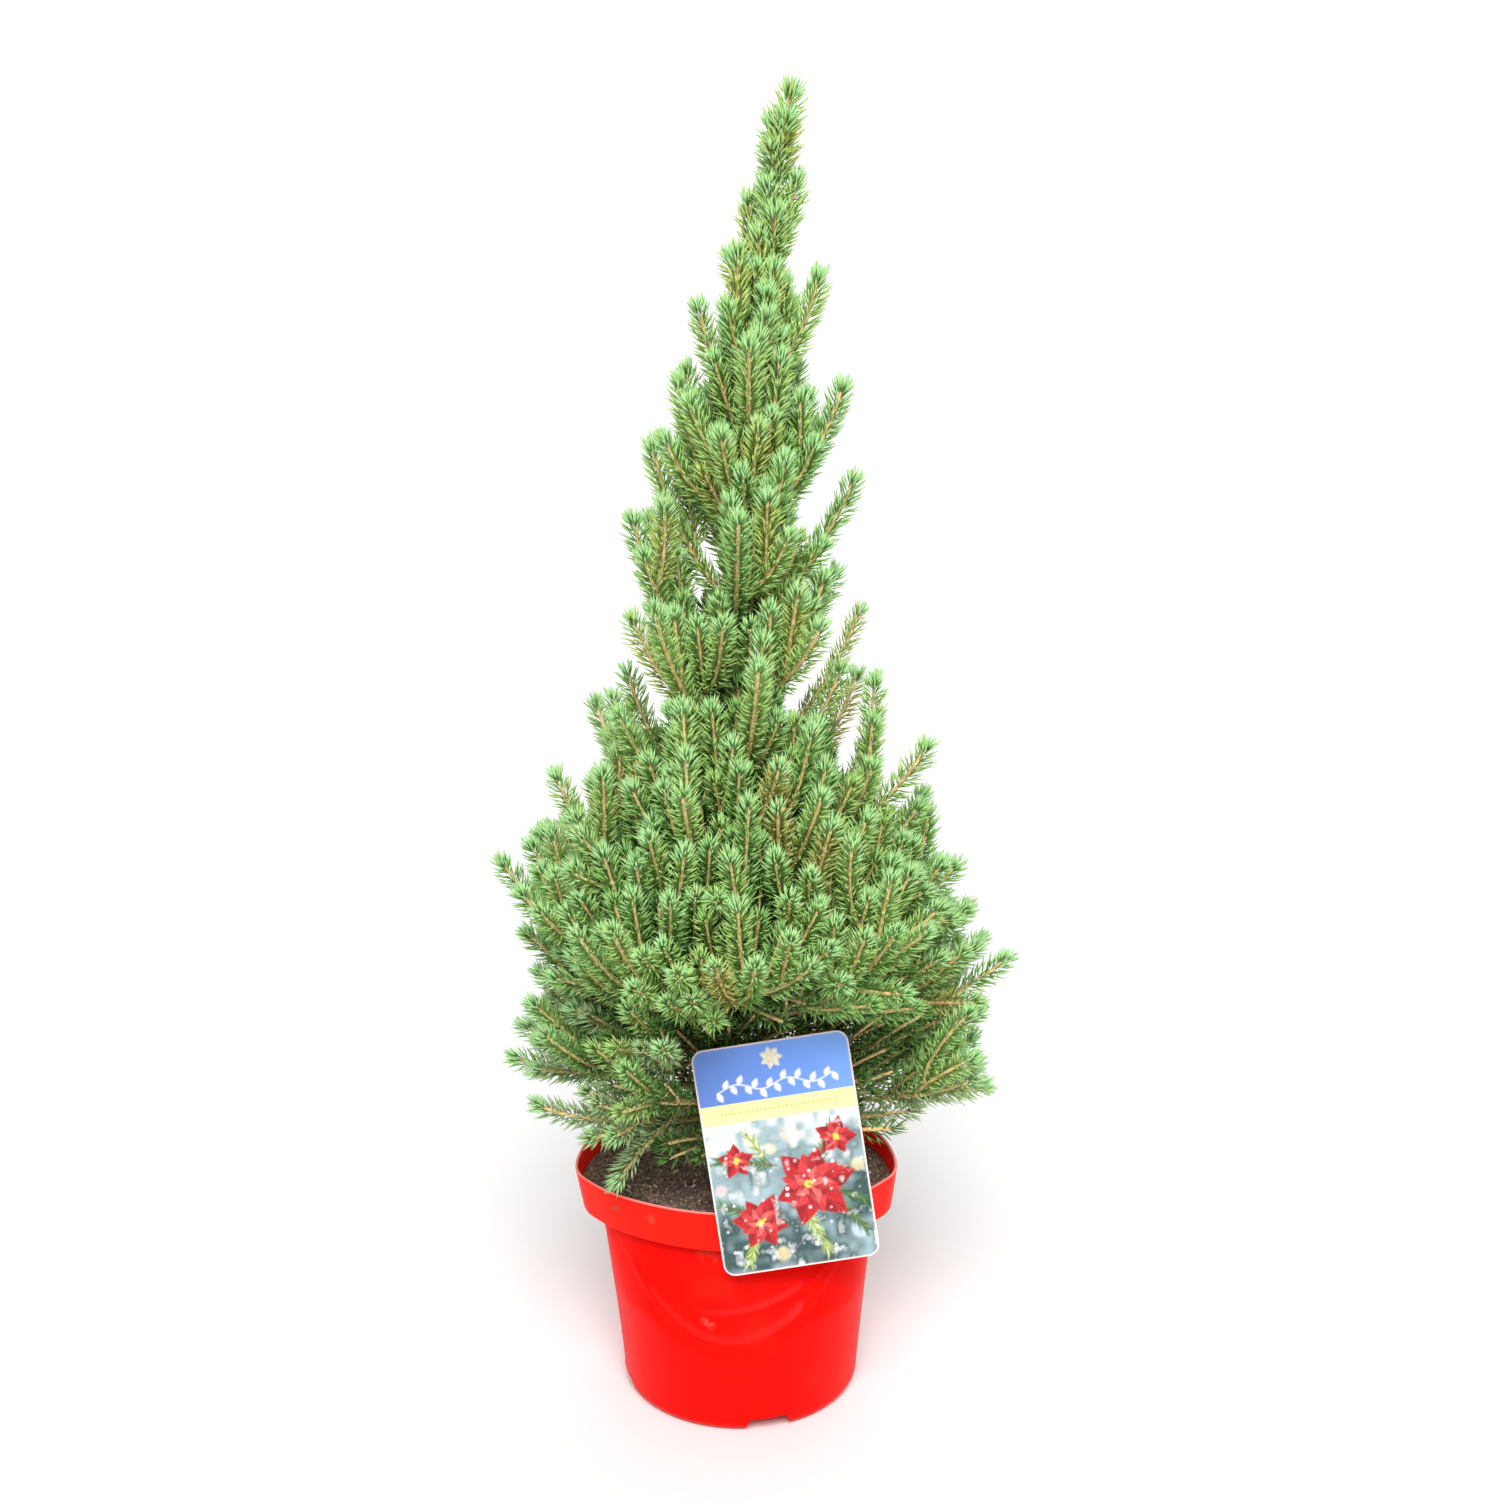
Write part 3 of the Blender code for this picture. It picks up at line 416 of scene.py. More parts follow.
def grid_faces(rows, columns, closed=True, offset=0):
    """Quads of a grid of points stored row by row, whose columns close into a ring or not."""
    across = columns if closed else columns - 1
    row, column = np.meshgrid(np.arange(rows - 1), np.arange(across), indexing="ij")
    after = (column + 1) % columns
    quads = np.stack([row * columns + column, row * columns + after,
                      (row + 1) * columns + after, (row + 1) * columns + column], axis=-1)
    return quads.reshape(-1, 4) + offset


def fan_faces(pole, first, columns, turned):
    """Triangles from a pole to a ring of points that starts at first."""
    column = np.arange(columns)
    after = (column + 1) % columns
    ends = (first + after, first + column) if turned else (first + column, first + after)
    return np.stack([np.full(columns, pole), *ends], axis=-1)


def unit(vectors):
    return vectors / np.maximum(np.linalg.norm(vectors, axis=-1, keepdims=True), 1e-12)


def interpolate(at, known, values):
    """np.interp for values with three parts each."""
    return np.stack([np.interp(at, known, values[:, i]) for i in range(values.shape[1])], axis=-1)


def hash_noise(points, seed):
    """Smooth noise from -1 to 1: eight corner values of a unit lattice, blended by smoothstep in each direction."""
    cell = np.floor(points).astype(np.int64)
    part = points - cell
    part = part * part * (3 - 2 * part)
    total = np.zeros(len(points))
    for corner in range(8):
        step = np.array([corner & 1, corner >> 1 & 1, corner >> 2 & 1])
        key = (cell + step) @ np.array([73856093, 19349663, 83492791]) + seed * 2654435
        key = (key ^ (key >> 13)) * 1274126177 & 0x7FFFFFFF
        value = (key ^ (key >> 16)) % 65536 / 32768 - 1
        total += value * np.prod(np.where(step, part, 1 - part), axis=1)
    return total


def trunk_at(z):
    heights, xs = zip(*TRUNK_LINE)
    return np.array([np.interp(z, heights, xs), 0.0, z])


def trunk_radius(z):
    heights, radii = zip(*TRUNK_RADII)
    return np.interp(np.asarray(z) - SOIL_HEIGHT, heights, radii)


def bezier(start, control, end, t):
    t = np.asarray(t)[..., None]
    return (1 - t) ** 2 * start + 2 * t * (1 - t) * control + t * t * end


def evenly(start, control, end, pitch, first=0.0, last=1.0):
    """Points at even steps of about pitch along the stretch of a curve from first to last."""
    dense = bezier(start, control, end, np.linspace(first, last, 80))
    length = np.concatenate([[0], np.cumsum(np.linalg.norm(np.diff(dense, axis=0), axis=1))])
    count = max(2, round(length[-1] / pitch))
    return interpolate(np.linspace(0, length[-1], count + 1), length, dense)


def limb_curve(limb):
    """Start, control and end of a limb, which leaves the trunk outwards and turns up towards its tip."""
    bearing = math.radians(limb.bearing)
    start = trunk_at(limb.root)
    end = trunk_at(limb.tip) + limb.reach * np.array([math.cos(bearing), math.sin(bearing), 0])
    rise = end - start
    return start, start + rise * np.array([LIMB_OUT, LIMB_OUT, LIMB_UP]), end


CARD_CENTRE = (0.0266, -0.0585, 0.1765)


def card_frame():
    """The label's own axes: its place with x along its width, y up it and z out of its face."""
    lean, roll = math.radians(12), math.radians(8.7)
    axes = Matrix(((1, 0, 0), (0, math.sin(lean), math.cos(lean)), (0, -math.cos(lean), math.sin(lean))))
    return Matrix.Translation(CARD_CENTRE) @ axes.transposed().to_4x4() @ Matrix.Rotation(roll, 4, "Z")


CARD_INVERSE = np.array(card_frame().inverted())
CARD_HALF = (0.0455, 0.067)


def in_opening(points, margin):
    eye = np.array(VIEWPOINT)
    sight = points - eye
    on_plane = eye + sight * (-eye[1] / sight[:, 1])[:, None]
    inside = np.zeros(len(points), bool)
    for x, z, half_w, half_h in OPENINGS:
        inside |= (abs(on_plane[:, 0] - x) < half_w + margin) & (abs(on_plane[:, 2] - z) < half_h + margin)
    return inside


def by_label_or_pot(points, margin):
    local = points @ CARD_INVERSE[:3, :3].T + CARD_INVERSE[:3, 3]
    in_card = (abs(local[:, 0]) < CARD_HALF[0] + margin) & (abs(local[:, 1]) < CARD_HALF[1] + margin)
    in_card &= (local[:, 2] > -margin - CARD_BACK) & (local[:, 2] < CARD_FRONT)
    return in_card | (points[:, 2] < POT_HEIGHT + RIM_CLEARANCE + margin)


def outside_crown(points):
    heights, middles, radii = zip(*CROWN)
    radius = np.hypot(points[:, 0] - np.interp(points[:, 2], heights, middles), points[:, 1])
    return (radius > np.interp(points[:, 2], heights, radii)) | (points[:, 2] > CROWN[-1][0])


def nearest(points, others):
    if len(others) == 0:
        return np.full(len(points), 1.0)
    return np.sqrt(((points[:, None] - others[None]) ** 2).sum(axis=2).min(axis=1))


class Shoot:
    """One shoot: the curve of its stem, the mass and tier that it belongs to, and how fine it is."""

    def __init__(self, mass, tier, order, start, control, end, first=0.0):
        self.mass, self.tier, self.order = mass, tier, order
        self.curve, self.first = (start, control, end), first
        self.samples = evenly(start, control, end, SAMPLE_PITCH, first)


def limb_space():
    """Sampled centre lines of the trunk and the boughs."""
    lines = [np.array([trunk_at(z) for z in np.arange(SOIL_HEIGHT, TRUNK_TIP, SAMPLE_PITCH)])]
    for tier in TIERS:
        lines += [evenly(*limb_curve(limb), SAMPLE_PITCH, 0, tier.bare) for limb in tier.limbs if tier.bare]
    return np.concatenate(lines), float(trunk_radius(SOIL_HEIGHT))


def twig_candidate(stem, index, count, length, lean, rng):
    """One way a twig could leave its stem: out at TWIG_ANGLE, then turning up, leaning lean degrees off the trunk."""
    along = TWIG_FIRST + TWIG_STRETCH * (index + rng.uniform(*TWIG_PLACES)) / count
    start, control, end = stem.curve
    t = stem.first + (1 - stem.first) * along
    origin = bezier(start, control, end, t)
    tangent = unit((1 - t) * (control - start) + t * (end - control))
    side = unit(np.cross(tangent, (0, 0, 1)) if abs(tangent[2]) < 0.97 else np.array([1.0, 0, 0]))
    upper = np.cross(side, tangent)
    turn = GOLDEN_ANGLE * index + rng.uniform(-math.pi, math.pi)
    lateral = side * math.cos(turn) + upper * math.sin(turn)
    angle = math.radians(TWIG_ANGLE + rng.uniform(-TWIG_ANGLE_RANGE, TWIG_ANGLE_RANGE))
    out = tangent * math.cos(angle) + lateral * math.sin(angle)
    out[2] = abs(out[2])
    reach = length * (1 - TWIG_SHORTENING * along) * rng.uniform(*TWIG_LENGTHS)
    bend = origin + out * reach * TWIG_BEND
    away = unit(bend - trunk_at(bend[2]))
    lean = math.radians(lean + rng.uniform(*LEAN_RANGE))
    onward = unit(OUTWARD_SHARE * out + away * math.sin(lean) + np.array([0, 0, math.cos(lean)]))
    return origin, bend, bend + onward * reach * (1 - TWIG_BEND)


def grow_main_shoots(limbs):
    """The leader, the main stem of every mass and the twigs that the solids have, drawn in the same order."""
    limb_points, limb_radius = limbs
    shoots = [Shoot("leader", LEADER, 0, *(trunk_at(z) for z in LEADER_HEIGHTS))]
    plans = [("leader", LEADER)]
    for tier in TIERS:
        for limb in tier.limbs:
            name = f"{tier.name}_{limb.place}"
            curve = limb_curve(limb)
            gap = GAP / np.linalg.norm(curve[2] - curve[0]) if tier.bare else 0
            shoots.append(Shoot(name, tier, 0, *curve, tier.bare + gap))
            plans.append((name, tier))
    stems = {shoot.mass: shoot for shoot in shoots}
    for index in range(max(tier.twigs for _, tier in plans)):
        for order, (name, tier) in enumerate(plans):
            if index >= tier.twigs:
                continue
            rng = np.random.default_rng((SEED, order, index))
            for _ in range(TWIG_TRIES):
                curve = twig_candidate(stems[name], index, tier.twigs, tier.twig_length, tier.lean, rng)
                twig = Shoot(name, tier, 1, *curve)
                free = twig.samples[3:]
                others = np.concatenate([s.samples for s in shoots if s.mass != name])
                own = np.concatenate([s.samples for s in shoots if s.mass == name])
                outer = twig.samples[min(5, len(twig.samples) - 1):]
                if not (
                    outside_crown(free).any()
                    or by_label_or_pot(free, TWIG_MARGIN).any()
                    or in_opening(free, OPENING_MARGIN).any()
                    or nearest(free, others).min() < TWIG_SPACING
                    or nearest(free, limb_points).min() < limb_radius + CORE_RADIUS
                    or nearest(outer, own).min() < OWN_SPACING
                ):
                    shoots.append(twig)
                    break
    return shoots, plans


class Room:
    """The space round the crown in cells of ROOM_PITCH, each of them free or within reach of a shoot's line."""

    def __init__(self, spacing):
        self.low, high = np.array(CAD_BOX, float)
        self.taken = np.zeros(np.ceil((high - self.low) / ROOM_PITCH).astype(int) + 1, bool)
        reach = math.ceil(spacing / ROOM_PITCH)
        steps = np.stack(np.meshgrid(*[np.arange(-reach, reach + 1)] * 3, indexing="ij"), axis=-1).reshape(-1, 3)
        self.ball = steps[np.linalg.norm(steps, axis=1) * ROOM_PITCH < spacing]

    def cells(self, points, steps=0):
        cells = np.rint((points - self.low) / ROOM_PITCH).astype(int) + steps
        return tuple(np.clip(cells, 0, np.array(self.taken.shape) - 1).reshape(-1, 3).T)

    def take(self, points):
        self.taken[self.cells(points[:, None], self.ball)] = True

    def is_free(self, points):
        return not self.taken[self.cells(points)].any()


def grow_finer_twigs(shoots, plans, limbs):
    """Finer twigs by the same rule from trunk, boughs, stems and twigs: long ones to the outline, then short fillers."""
    top = (NEEDLED_TRUNK, (NEEDLED_TRUNK + TRUNK_TIP) / 2, TRUNK_TIP)
    parents = {name: [] for name, _ in plans}
    for shoot in shoots:
        parents[shoot.mass].append(shoot)
        if shoot.order == 0:
            root = shoot.curve[0][2]
            stretch = [trunk_at(z) for z in (root - TRUNK_STRETCH, root, root + TRUNK_STRETCH)]
            parents[shoot.mass].append(Shoot(shoot.mass, shoot.tier, 0, *stretch))
        if shoot.first:
            parents[shoot.mass].append(Shoot(shoot.mass, shoot.tier, 0, *shoot.curve, BOUGH_FIRST))
    shoots.append(Shoot("leader", LEADER, 0, *(trunk_at(z) for z in top)))
    for step in PASSES:
        room = Room(step.room)
        for shoot in shoots:
            room.take(shoot.samples)
        room.take(limbs[0])
        for index in range(round(max(tier.finer for _, tier in plans) * step.share)):
            for order, (name, tier) in enumerate(plans):
                if tier.name in step.tiers and index < tier.finer * step.share:
                    rng = np.random.default_rng((SEED, order, 100 + index, PASSES.index(step)))
                    twig = finer_twig(name, tier, step, parents[name], room, rng)
                    if twig:
                        shoots.append(twig)
                        room.take(twig.samples)
                        parents[name].append(twig)
    return shoots


def finer_twig(name, tier, step, parents, room, rng):
    """The first of FINE_TRIES twigs that has room in the crown, or nothing."""
    for _ in range(FINE_TRIES):
        parent = parents[rng.integers(len(parents))]
        place = rng.integers(FINE_PLACES)
        lean = min(tier.lean + step.lean, LOWEST_LEAN)
        curve = twig_candidate(parent, place, FINE_PLACES, tier.twig_length * step.length, lean, rng)
        twig = Shoot(name, tier, parent.order + 1, *curve)
        free = twig.samples[math.ceil(len(twig.samples) * step.hidden):]
        if (
            room.is_free(free)
            and depth_in_crown(twig.samples[-1]) > step.depth
            and twig.samples[-1][2] < HIGHEST_TIP
            and not outside_crown(free).any()
            and not by_label_or_pot(free, TWIG_MARGIN).any()
            and not in_opening(free, OPENING_MARGIN).any()
        ):
            return twig
    return None


def along_shoot(shoot, at):
    """Places and directions at distances from a shoot's base, with the two directions across it."""
    line = evenly(*shoot.curve, 0.002, shoot.first)
    known = np.concatenate([[0], np.cumsum(np.linalg.norm(np.diff(line, axis=0), axis=1))])
    slopes = unit(np.gradient(line, axis=0))
    place = interpolate(at, known, line)
    tangent = unit(interpolate(at, known, slopes))
    chord = unit(line[-1] - line[0])
    upright = np.array([0, 0, 1.0]) if abs(chord[2]) < 0.9 else np.array([0, 1.0, 0])
    side = unit(np.cross(tangent, upright))
    return place, tangent, side, np.cross(side, tangent), known[-1]


def needle_points(base, direction, bend, lengths, radius):
    """Each needle as its root, a ring of three and its tip, on the line base + d s + b s squared along its length."""
    across = unit(np.cross(direction, bend + np.array([0.013, 0.007, 0.003])))
    other = np.cross(direction, across)
    turns = np.radians([90, 210, 330])
    ring = across[:, None] * np.cos(turns)[:, None] + other[:, None] * np.sin(turns)[:, None]

    def centre(share):
        s = (lengths * share)[:, None]
        return base + direction * s + bend * s * share * 0.16

    points = np.empty((len(base), 5, 3))
    points[:, 0] = base
    points[:, 1:4] = centre(NEEDLE_WIDEST)[:, None] + ring * radius
    points[:, 4] = centre(1.0)
    return points


NEEDLE_WIDEST = 0.58
NEEDLE_FACES = np.array([[0, 2, 1], [0, 3, 2], [0, 1, 3], [4, 1, 2], [4, 2, 3], [4, 3, 1]])

# How a kind of shoot is clothed: its bare foot, its needles' pitch, length and lean as shares, and its rosette's needles
Dress = namedtuple("Dress", "bare pitch length lean rosette")
DRESSES = {
    "leader": Dress(0.000, 0.62, 1.2, 1.05, 26),
    "spire": Dress(0.003, 0.72, 1.08, 0.84, 22),
    "crown": Dress(0.004, 0.85, 1.0, 0.88, 20),
    "outer": Dress(0.006, 1.0, 1.0, 1.0, 20),
    "lone": Dress(0.004, 1.0, 0.82, 0.9, 16),
    "fill": Dress(0.006, 1.35, 1.0, 1.0, 14),
    "inner": Dress(0.006, 2.6, 1.0, 1.0, 8),
}
ROSETTE = 0.0035
LEAN_FADE = 0.009


def dress_of(shoot):
    if shoot.tier.name not in ("leader", "lone"):
        depth = depth_in_crown(shoot.samples[-1])
        if depth > TIP_DEPTH:
            return DRESSES["inner" if depth > INNER_DEPTH else "fill"]
    return DRESSES.get(shoot.tier.name, DRESSES["outer"])


def clothe(shoot, colour, settings, rng):
    """The needles of one shoot: a golden-angle spiral, leaning forward, closing to a rosette at its tip."""
    kind = dress_of(shoot)
    line = evenly(*shoot.curve, 0.002, shoot.first)
    length = np.linalg.norm(np.diff(line, axis=0), axis=1).sum()
    at = np.arange(kind.bare, length, settings.pitch * kind.pitch)
    sparse = shoot.mass.startswith("lone")
    if sparse:
        at = at[(at > 0.45 * length) | (rng.random(len(at)) < 0.35)]
    at = np.concatenate([at, length - ROSETTE * rng.random(kind.rosette)])
    count = len(at)
    place, tangent, side, upper, _ = along_shoot(shoot, at)
    to_tip = length - at
    turn = GOLDEN_ANGLE * np.arange(count) + rng.uniform(-0.35, 0.35, count)
    if shoot.mass.startswith("droop"):
        turn = np.where(np.sin(turn) < 0, -turn, turn)
    radial = side * np.cos(turn)[:, None] + upper * np.sin(turn)[:, None]
    lean = 14 + 42 * np.clip(to_tip / LEAN_FADE, 0, 1) ** 0.5 + rng.uniform(-12, 10, count)
    lean = np.radians(lean * kind.lean)[:, None]
    level = 1 - abs(tangent[:, 2:3])
    stray = rng.normal(0, 0.10, (count, 3))
    direction = unit(tangent * np.cos(lean) + radial * np.sin(lean) + np.array([0, 0, 0.22]) * level + stray)
    lengths = settings.length * kind.length * rng.uniform(0.82, 1.06, count)
    lengths *= 0.84 + 0.16 * np.clip(to_tip / LEAN_FADE, 0, 1)
    radius = settings.width * 0.58 * rng.uniform(0.88, 1.1, count)[:, None, None]
    points = needle_points(place + radial * 0.0004, direction, tangent, lengths, radius)
    shades = np.full(count, NEEDLE_COLOURS.index(colour))
    tip = (to_tip < 0.009 + rng.uniform(-0.003, 0.003, count)) & (rng.random(count) < 0.8)
    if kind not in (DRESSES["inner"], DRESSES["fill"]):
        shades[tip] = NEEDLE_COLOURS.index("tip")
    shades[rng.random(count) < (0.25 if sparse else 0.012)] = NEEDLE_COLOURS.index("straw")
    return points, shades


def depth_in_crown(point):
    """How far inside the crown's outline a point lies, measured level."""
    heights, middles, radii = zip(*CROWN)
    radius = math.hypot(point[0] - np.interp(point[2], heights, middles), point[1])
    return np.interp(point[2], heights, radii) - radius


def batches(clothed):
    """Whole masses in groups of at most PIECE_NEEDLES needles."""
    groups, count = [{}], 0
    for mass, entries in clothed.items():
        needles = sum(len(entry[1]) for entry in entries)
        if count + needles > PIECE_NEEDLES and groups[-1]:
            groups.append({})
            count = 0
        groups[-1][mass] = entries
        count += needles
    return groups


STEM_RADII = (0.0017, 0.0015, 0.00135)


def twig_tubes(shoots):
    """Stems as tapering tubes, ring after ring across each shoot's line, with a pole at each end."""
    points, quads, fans = [], [], []
    offset = 0
    for shoot in shoots:
        sides, rings = (4, 4) if dress_of(shoot) is DRESSES["inner"] else (5, 12)
        turns = np.linspace(0, 2 * math.pi, sides, endpoint=False)
        line = evenly(*shoot.curve, 0.002, shoot.first)
        length = np.linalg.norm(np.diff(line, axis=0), axis=1).sum()
        place, tangent, side, upper, _ = along_shoot(shoot, np.linspace(0, length * 0.985, rings))
        thick = STEM_RADII[min(shoot.order, len(STEM_RADII) - 1)]
        radii = np.linspace(thick, thick * 0.62, rings) * (1 + 0.2 * np.cos(np.arange(rings) * 2.4))
        if shoot.first:
            radii[0] = BOUGH_TIP_RADIUS
        ring = side[:, None] * np.cos(turns)[:, None] + upper[:, None] * np.sin(turns)[:, None]
        grid = place[:, None] + ring * radii[:, None, None]
        poles = np.stack([place[0] - tangent[0] * 0.0002, place[-1] + tangent[-1] * radii[-1] * 1.5])
        points.append(np.concatenate([grid.reshape(-1, 3), poles]))
        size = rings * sides
        quads.append(grid_faces(rings, sides, True, offset))
        fans.append(fan_faces(offset + size, offset, sides, True))
        fans.append(fan_faces(offset + size + 1, offset + size - sides, sides, False))
        offset += size + 2
    return np.concatenate(points), np.concatenate(quads), np.concatenate(fans)


def needle_materials(settings):
    """Spruce needles: a waxy skin, so a soft sheen. Each colour is a plain base colour, dealt out by shoot; the shade
    colour is painted shade for shoots deep in the crown.
    """
    materials = []
    for name in NEEDLE_COLOURS:
        material, _, shader = plain_material(f"Waxy spruce needle {name}", 0.48, 0.35)
        shader.inputs["Base Color"].default_value = rgba(getattr(settings, name))
        materials.append(material)
    return materials


def young_wood(settings):
    """Thin orange-tan bark of young stems, matt, a little uneven."""
    material, tree, shader = plain_material("Young spruce stem bark", 0.65, 0.3)
    place = add_node(tree, "ShaderNodeTexCoord").outputs["Object"]
    noise = add_node(tree, "ShaderNodeTexNoise", {"Vector": place, "Scale": 260.0, "Detail": 3.0})
    factor = ramp(tree, noise.outputs["Fac"], 0.35, 0.65)
    tree.links.new(mixed(tree, factor, rgba(settings.young, 0.72), rgba(settings.young, 1.12)),
                   shader.inputs["Base Color"])
    return material


def old_bark(settings):
    """Scaly bark of a trunk about a centimetre thick: beige scales of 2 mm with darker furrows between them."""
    material, tree, shader = plain_material("Scaly spruce bark", 0.85, 0.25)
    place = add_node(tree, "ShaderNodeTexCoord").outputs["Object"]
    scales = add_node(tree, "ShaderNodeTexVoronoi", {"Vector": place, "Scale": 480.0}, feature="DISTANCE_TO_EDGE")
    noise = add_node(tree, "ShaderNodeTexNoise", {"Vector": place, "Scale": 120.0, "Detail": 5.0})
    shade = mixed(tree, ramp(tree, noise.outputs["Fac"], 0.35, 0.7), rgba(settings.bark, 0.7), rgba(settings.bark, 1.15))
    colour = mixed(tree, ramp(tree, scales.outputs["Distance"], 0.0, 0.12), rgba(settings.crack), shade)
    height = add_node(tree, "ShaderNodeSeparateXYZ", {"Vector": place}).outputs["Z"]
    colour = mixed(tree, ramp(tree, height, 0.34, 0.56), colour, rgba(settings.young, 0.95))
    tree.links.new(colour, shader.inputs["Base Color"])
    bump = add_node(tree, "ShaderNodeBump", {"Height": scales.outputs["Distance"], "Distance": 0.0006, "Strength": 0.5})
    tree.links.new(bump.outputs["Normal"], shader.inputs["Normal"])
    return material


def bark_tube(points, radii, sides, relief, seed):
    """A tube with bark: radius r + relief (pegs + furrows), with pegs in spiral rows as the leaf cushions lie."""
    tangent = unit(np.gradient(points, axis=0))
    upright = np.array([0, 1.0, 0]) if abs(unit(points[-1] - points[0])[2]) > 0.7 else np.array([0, 0, 1.0])
    side = unit(np.cross(tangent, upright))
    upper = np.cross(side, tangent)
    turns = np.linspace(0, 2 * math.pi, sides, endpoint=False)
    length = np.concatenate([[0], np.cumsum(np.linalg.norm(np.diff(points, axis=0), axis=1))])
    angle, along = np.meshgrid(turns, length)
    pegs = np.maximum(np.cos(5 * angle + along / 0.0011) * np.cos(3 * angle - along / 0.0017), 0)
    lattice = np.stack([np.cos(angle) * 3, np.sin(angle) * 3, along / 0.004], axis=-1).reshape(-1, 3) + 50
    furrows = hash_noise(lattice, seed).reshape(angle.shape)
    radius = radii[:, None] + relief * (0.8 * pegs + 0.9 * furrows) * np.clip(radii[:, None] / 0.003, 0.3, 1)
    ring = side[:, None] * np.cos(angle)[..., None] + upper[:, None] * np.sin(angle)[..., None]
    grid = points[:, None] + ring * radius[..., None]
    poles = np.stack([points[0], points[-1] + tangent[-1] * radii[-1]])
    size = len(points) * sides
    fans = np.concatenate([fan_faces(size, 0, sides, True), fan_faces(size + 1, size - sides, sides, False)])
    return np.concatenate([grid.reshape(-1, 3), poles]), grid_faces(len(points), sides), fans


def squeezed(points, pot):
    """Where a point of the round pot lies in the squeezed one: the front is pushed in above a curved crease."""
    x, y, z = points[..., 0], points[..., 1], points[..., 2]
    bulge = (z / POT_HEIGHT) ** 2
    lip = POT_HEIGHT - pot.lip_depth
    crease = np.minimum(pot.crease_height + 9.0 * (x + 0.008) ** 2, lip - 0.044)
    push = (z - crease) / (lip - crease)
    push = np.minimum(0.5 * (push + np.sqrt(push**2 + 0.0036)), 1)
    fade = np.clip((0.015 - y) / 0.060, 0, 1)
    fade = fade * fade * (3 - 2 * fade)
    side = 1 - (x / (1.14 * np.maximum(np.hypot(x, y), 0.01))) ** 4
    bowl = 0.059 + np.where(x < -0.008, 12.5, 9.0) * (x + 0.008) ** 2
    lobe = 0.0742 + 4.4 * (x + 0.020) ** 2
    folds = tent(z - bowl, 0.005) * np.clip((0.108 - bowl) / 0.02, 0, 1)
    folds += 0.8 * tent(z - lobe, 0.0035) * np.clip((x + 0.032) / 0.012, 0, 1) * np.clip((0.062 - x) / 0.008, 0, 1)
    move_y = 0.11 * bulge * np.maximum(y, 0) + pot.push_depth * push * fade * side - pot.fold_relief * folds * fade
    return np.stack([x * (1 + 0.06 * bulge) - 0.0025 * bulge, y + move_y, z], axis=-1)


def tent(distance, reach):
    """1 on a line and falling straight to 0 at its reach on both sides, for a fold with a crisp back."""
    return np.clip(1 - abs(distance) / reach, 0, 1)


POCKETS, POCKET_BEARING = 4, -76
POCKET_WIDTH, POCKET_TOP_WIDTH, POCKET_HEIGHT, POCKET_INNER = 0.031, 0.022, 0.009, 0.052


def pocket_share(angles):
    """1 over a drainage pocket's roof, falling to 0 down its slanted sides, by bearing."""
    step = 2 * math.pi / POCKETS
    nearby = (angles - math.radians(POCKET_BEARING) + step / 2) % step - step / 2
    across = abs(nearby) * 0.0715
    return np.clip((POCKET_WIDTH / 2 - across) / ((POCKET_WIDTH - POCKET_TOP_WIDTH) / 2), 0, 1)


def pot_stations(pot):
    """The pot's profile from the middle of its underside round the wall and lip to its inner floor."""
    foot, rounding = pot.foot_radius, pot.foot_rounding
    lip_z = POT_HEIGHT - pot.lip_depth
    turns = np.radians(np.linspace(-90, 0, 9))
    under = [(r, 0.0) for r in (0.02, 0.04, POCKET_INNER - 0.0002, POCKET_INNER, 0.058, 0.0635)]
    arc = [(foot - rounding + rounding * math.cos(a), rounding + rounding * math.sin(a)) for a in turns]
    rise = np.linspace(0, 1, 110)[1:]
    wall = [(foot + (pot.shoulder_radius - foot) * t, rounding + (lip_z - 0.0012 - rounding) * t) for t in rise]
    lip_low = pot.rim_radius - 0.002
    neck = [(pot.shoulder_radius + 0.0004, lip_z - 0.0004), (pot.shoulder_radius + 0.0015, lip_z)]
    ledge = [(lip_low - 0.0012, lip_z), (lip_low - 0.0003, lip_z + 0.0003), (lip_low, lip_z + 0.0012)]
    band = [(lip_low + 0.002 * t, lip_z + 0.0012 + (pot.lip_depth - 0.0020) * t) for t in np.linspace(0, 1, 12)[1:]]
    outer_r, inner_r = pot.rim_radius, pot.rim_radius - pot.wall
    rim = [(outer_r - 0.0002, POT_HEIGHT - 0.0002), (outer_r - 0.0007, POT_HEIGHT), (inner_r + 0.0004, POT_HEIGHT),
           (inner_r, POT_HEIGHT - 0.0004)]
    inner_lip = [(inner_r - 0.002 * t, POT_HEIGHT - 0.0004 - (pot.lip_depth - 0.0020) * t)
                 for t in np.linspace(0, 1, 8)[1:]]
    inner_low = pot.shoulder_radius - pot.wall
    floor_z = POCKET_HEIGHT + 0.004
    inside = [(inner_low + (foot - pot.wall - inner_low) * t, lip_z + pot.wall + (floor_z - lip_z - pot.wall) * t)
              for t in np.linspace(0, 1, 30)]
    return np.array(under + arc[1:] + wall + neck + ledge + band + rim + inner_lip + inside), floor_z


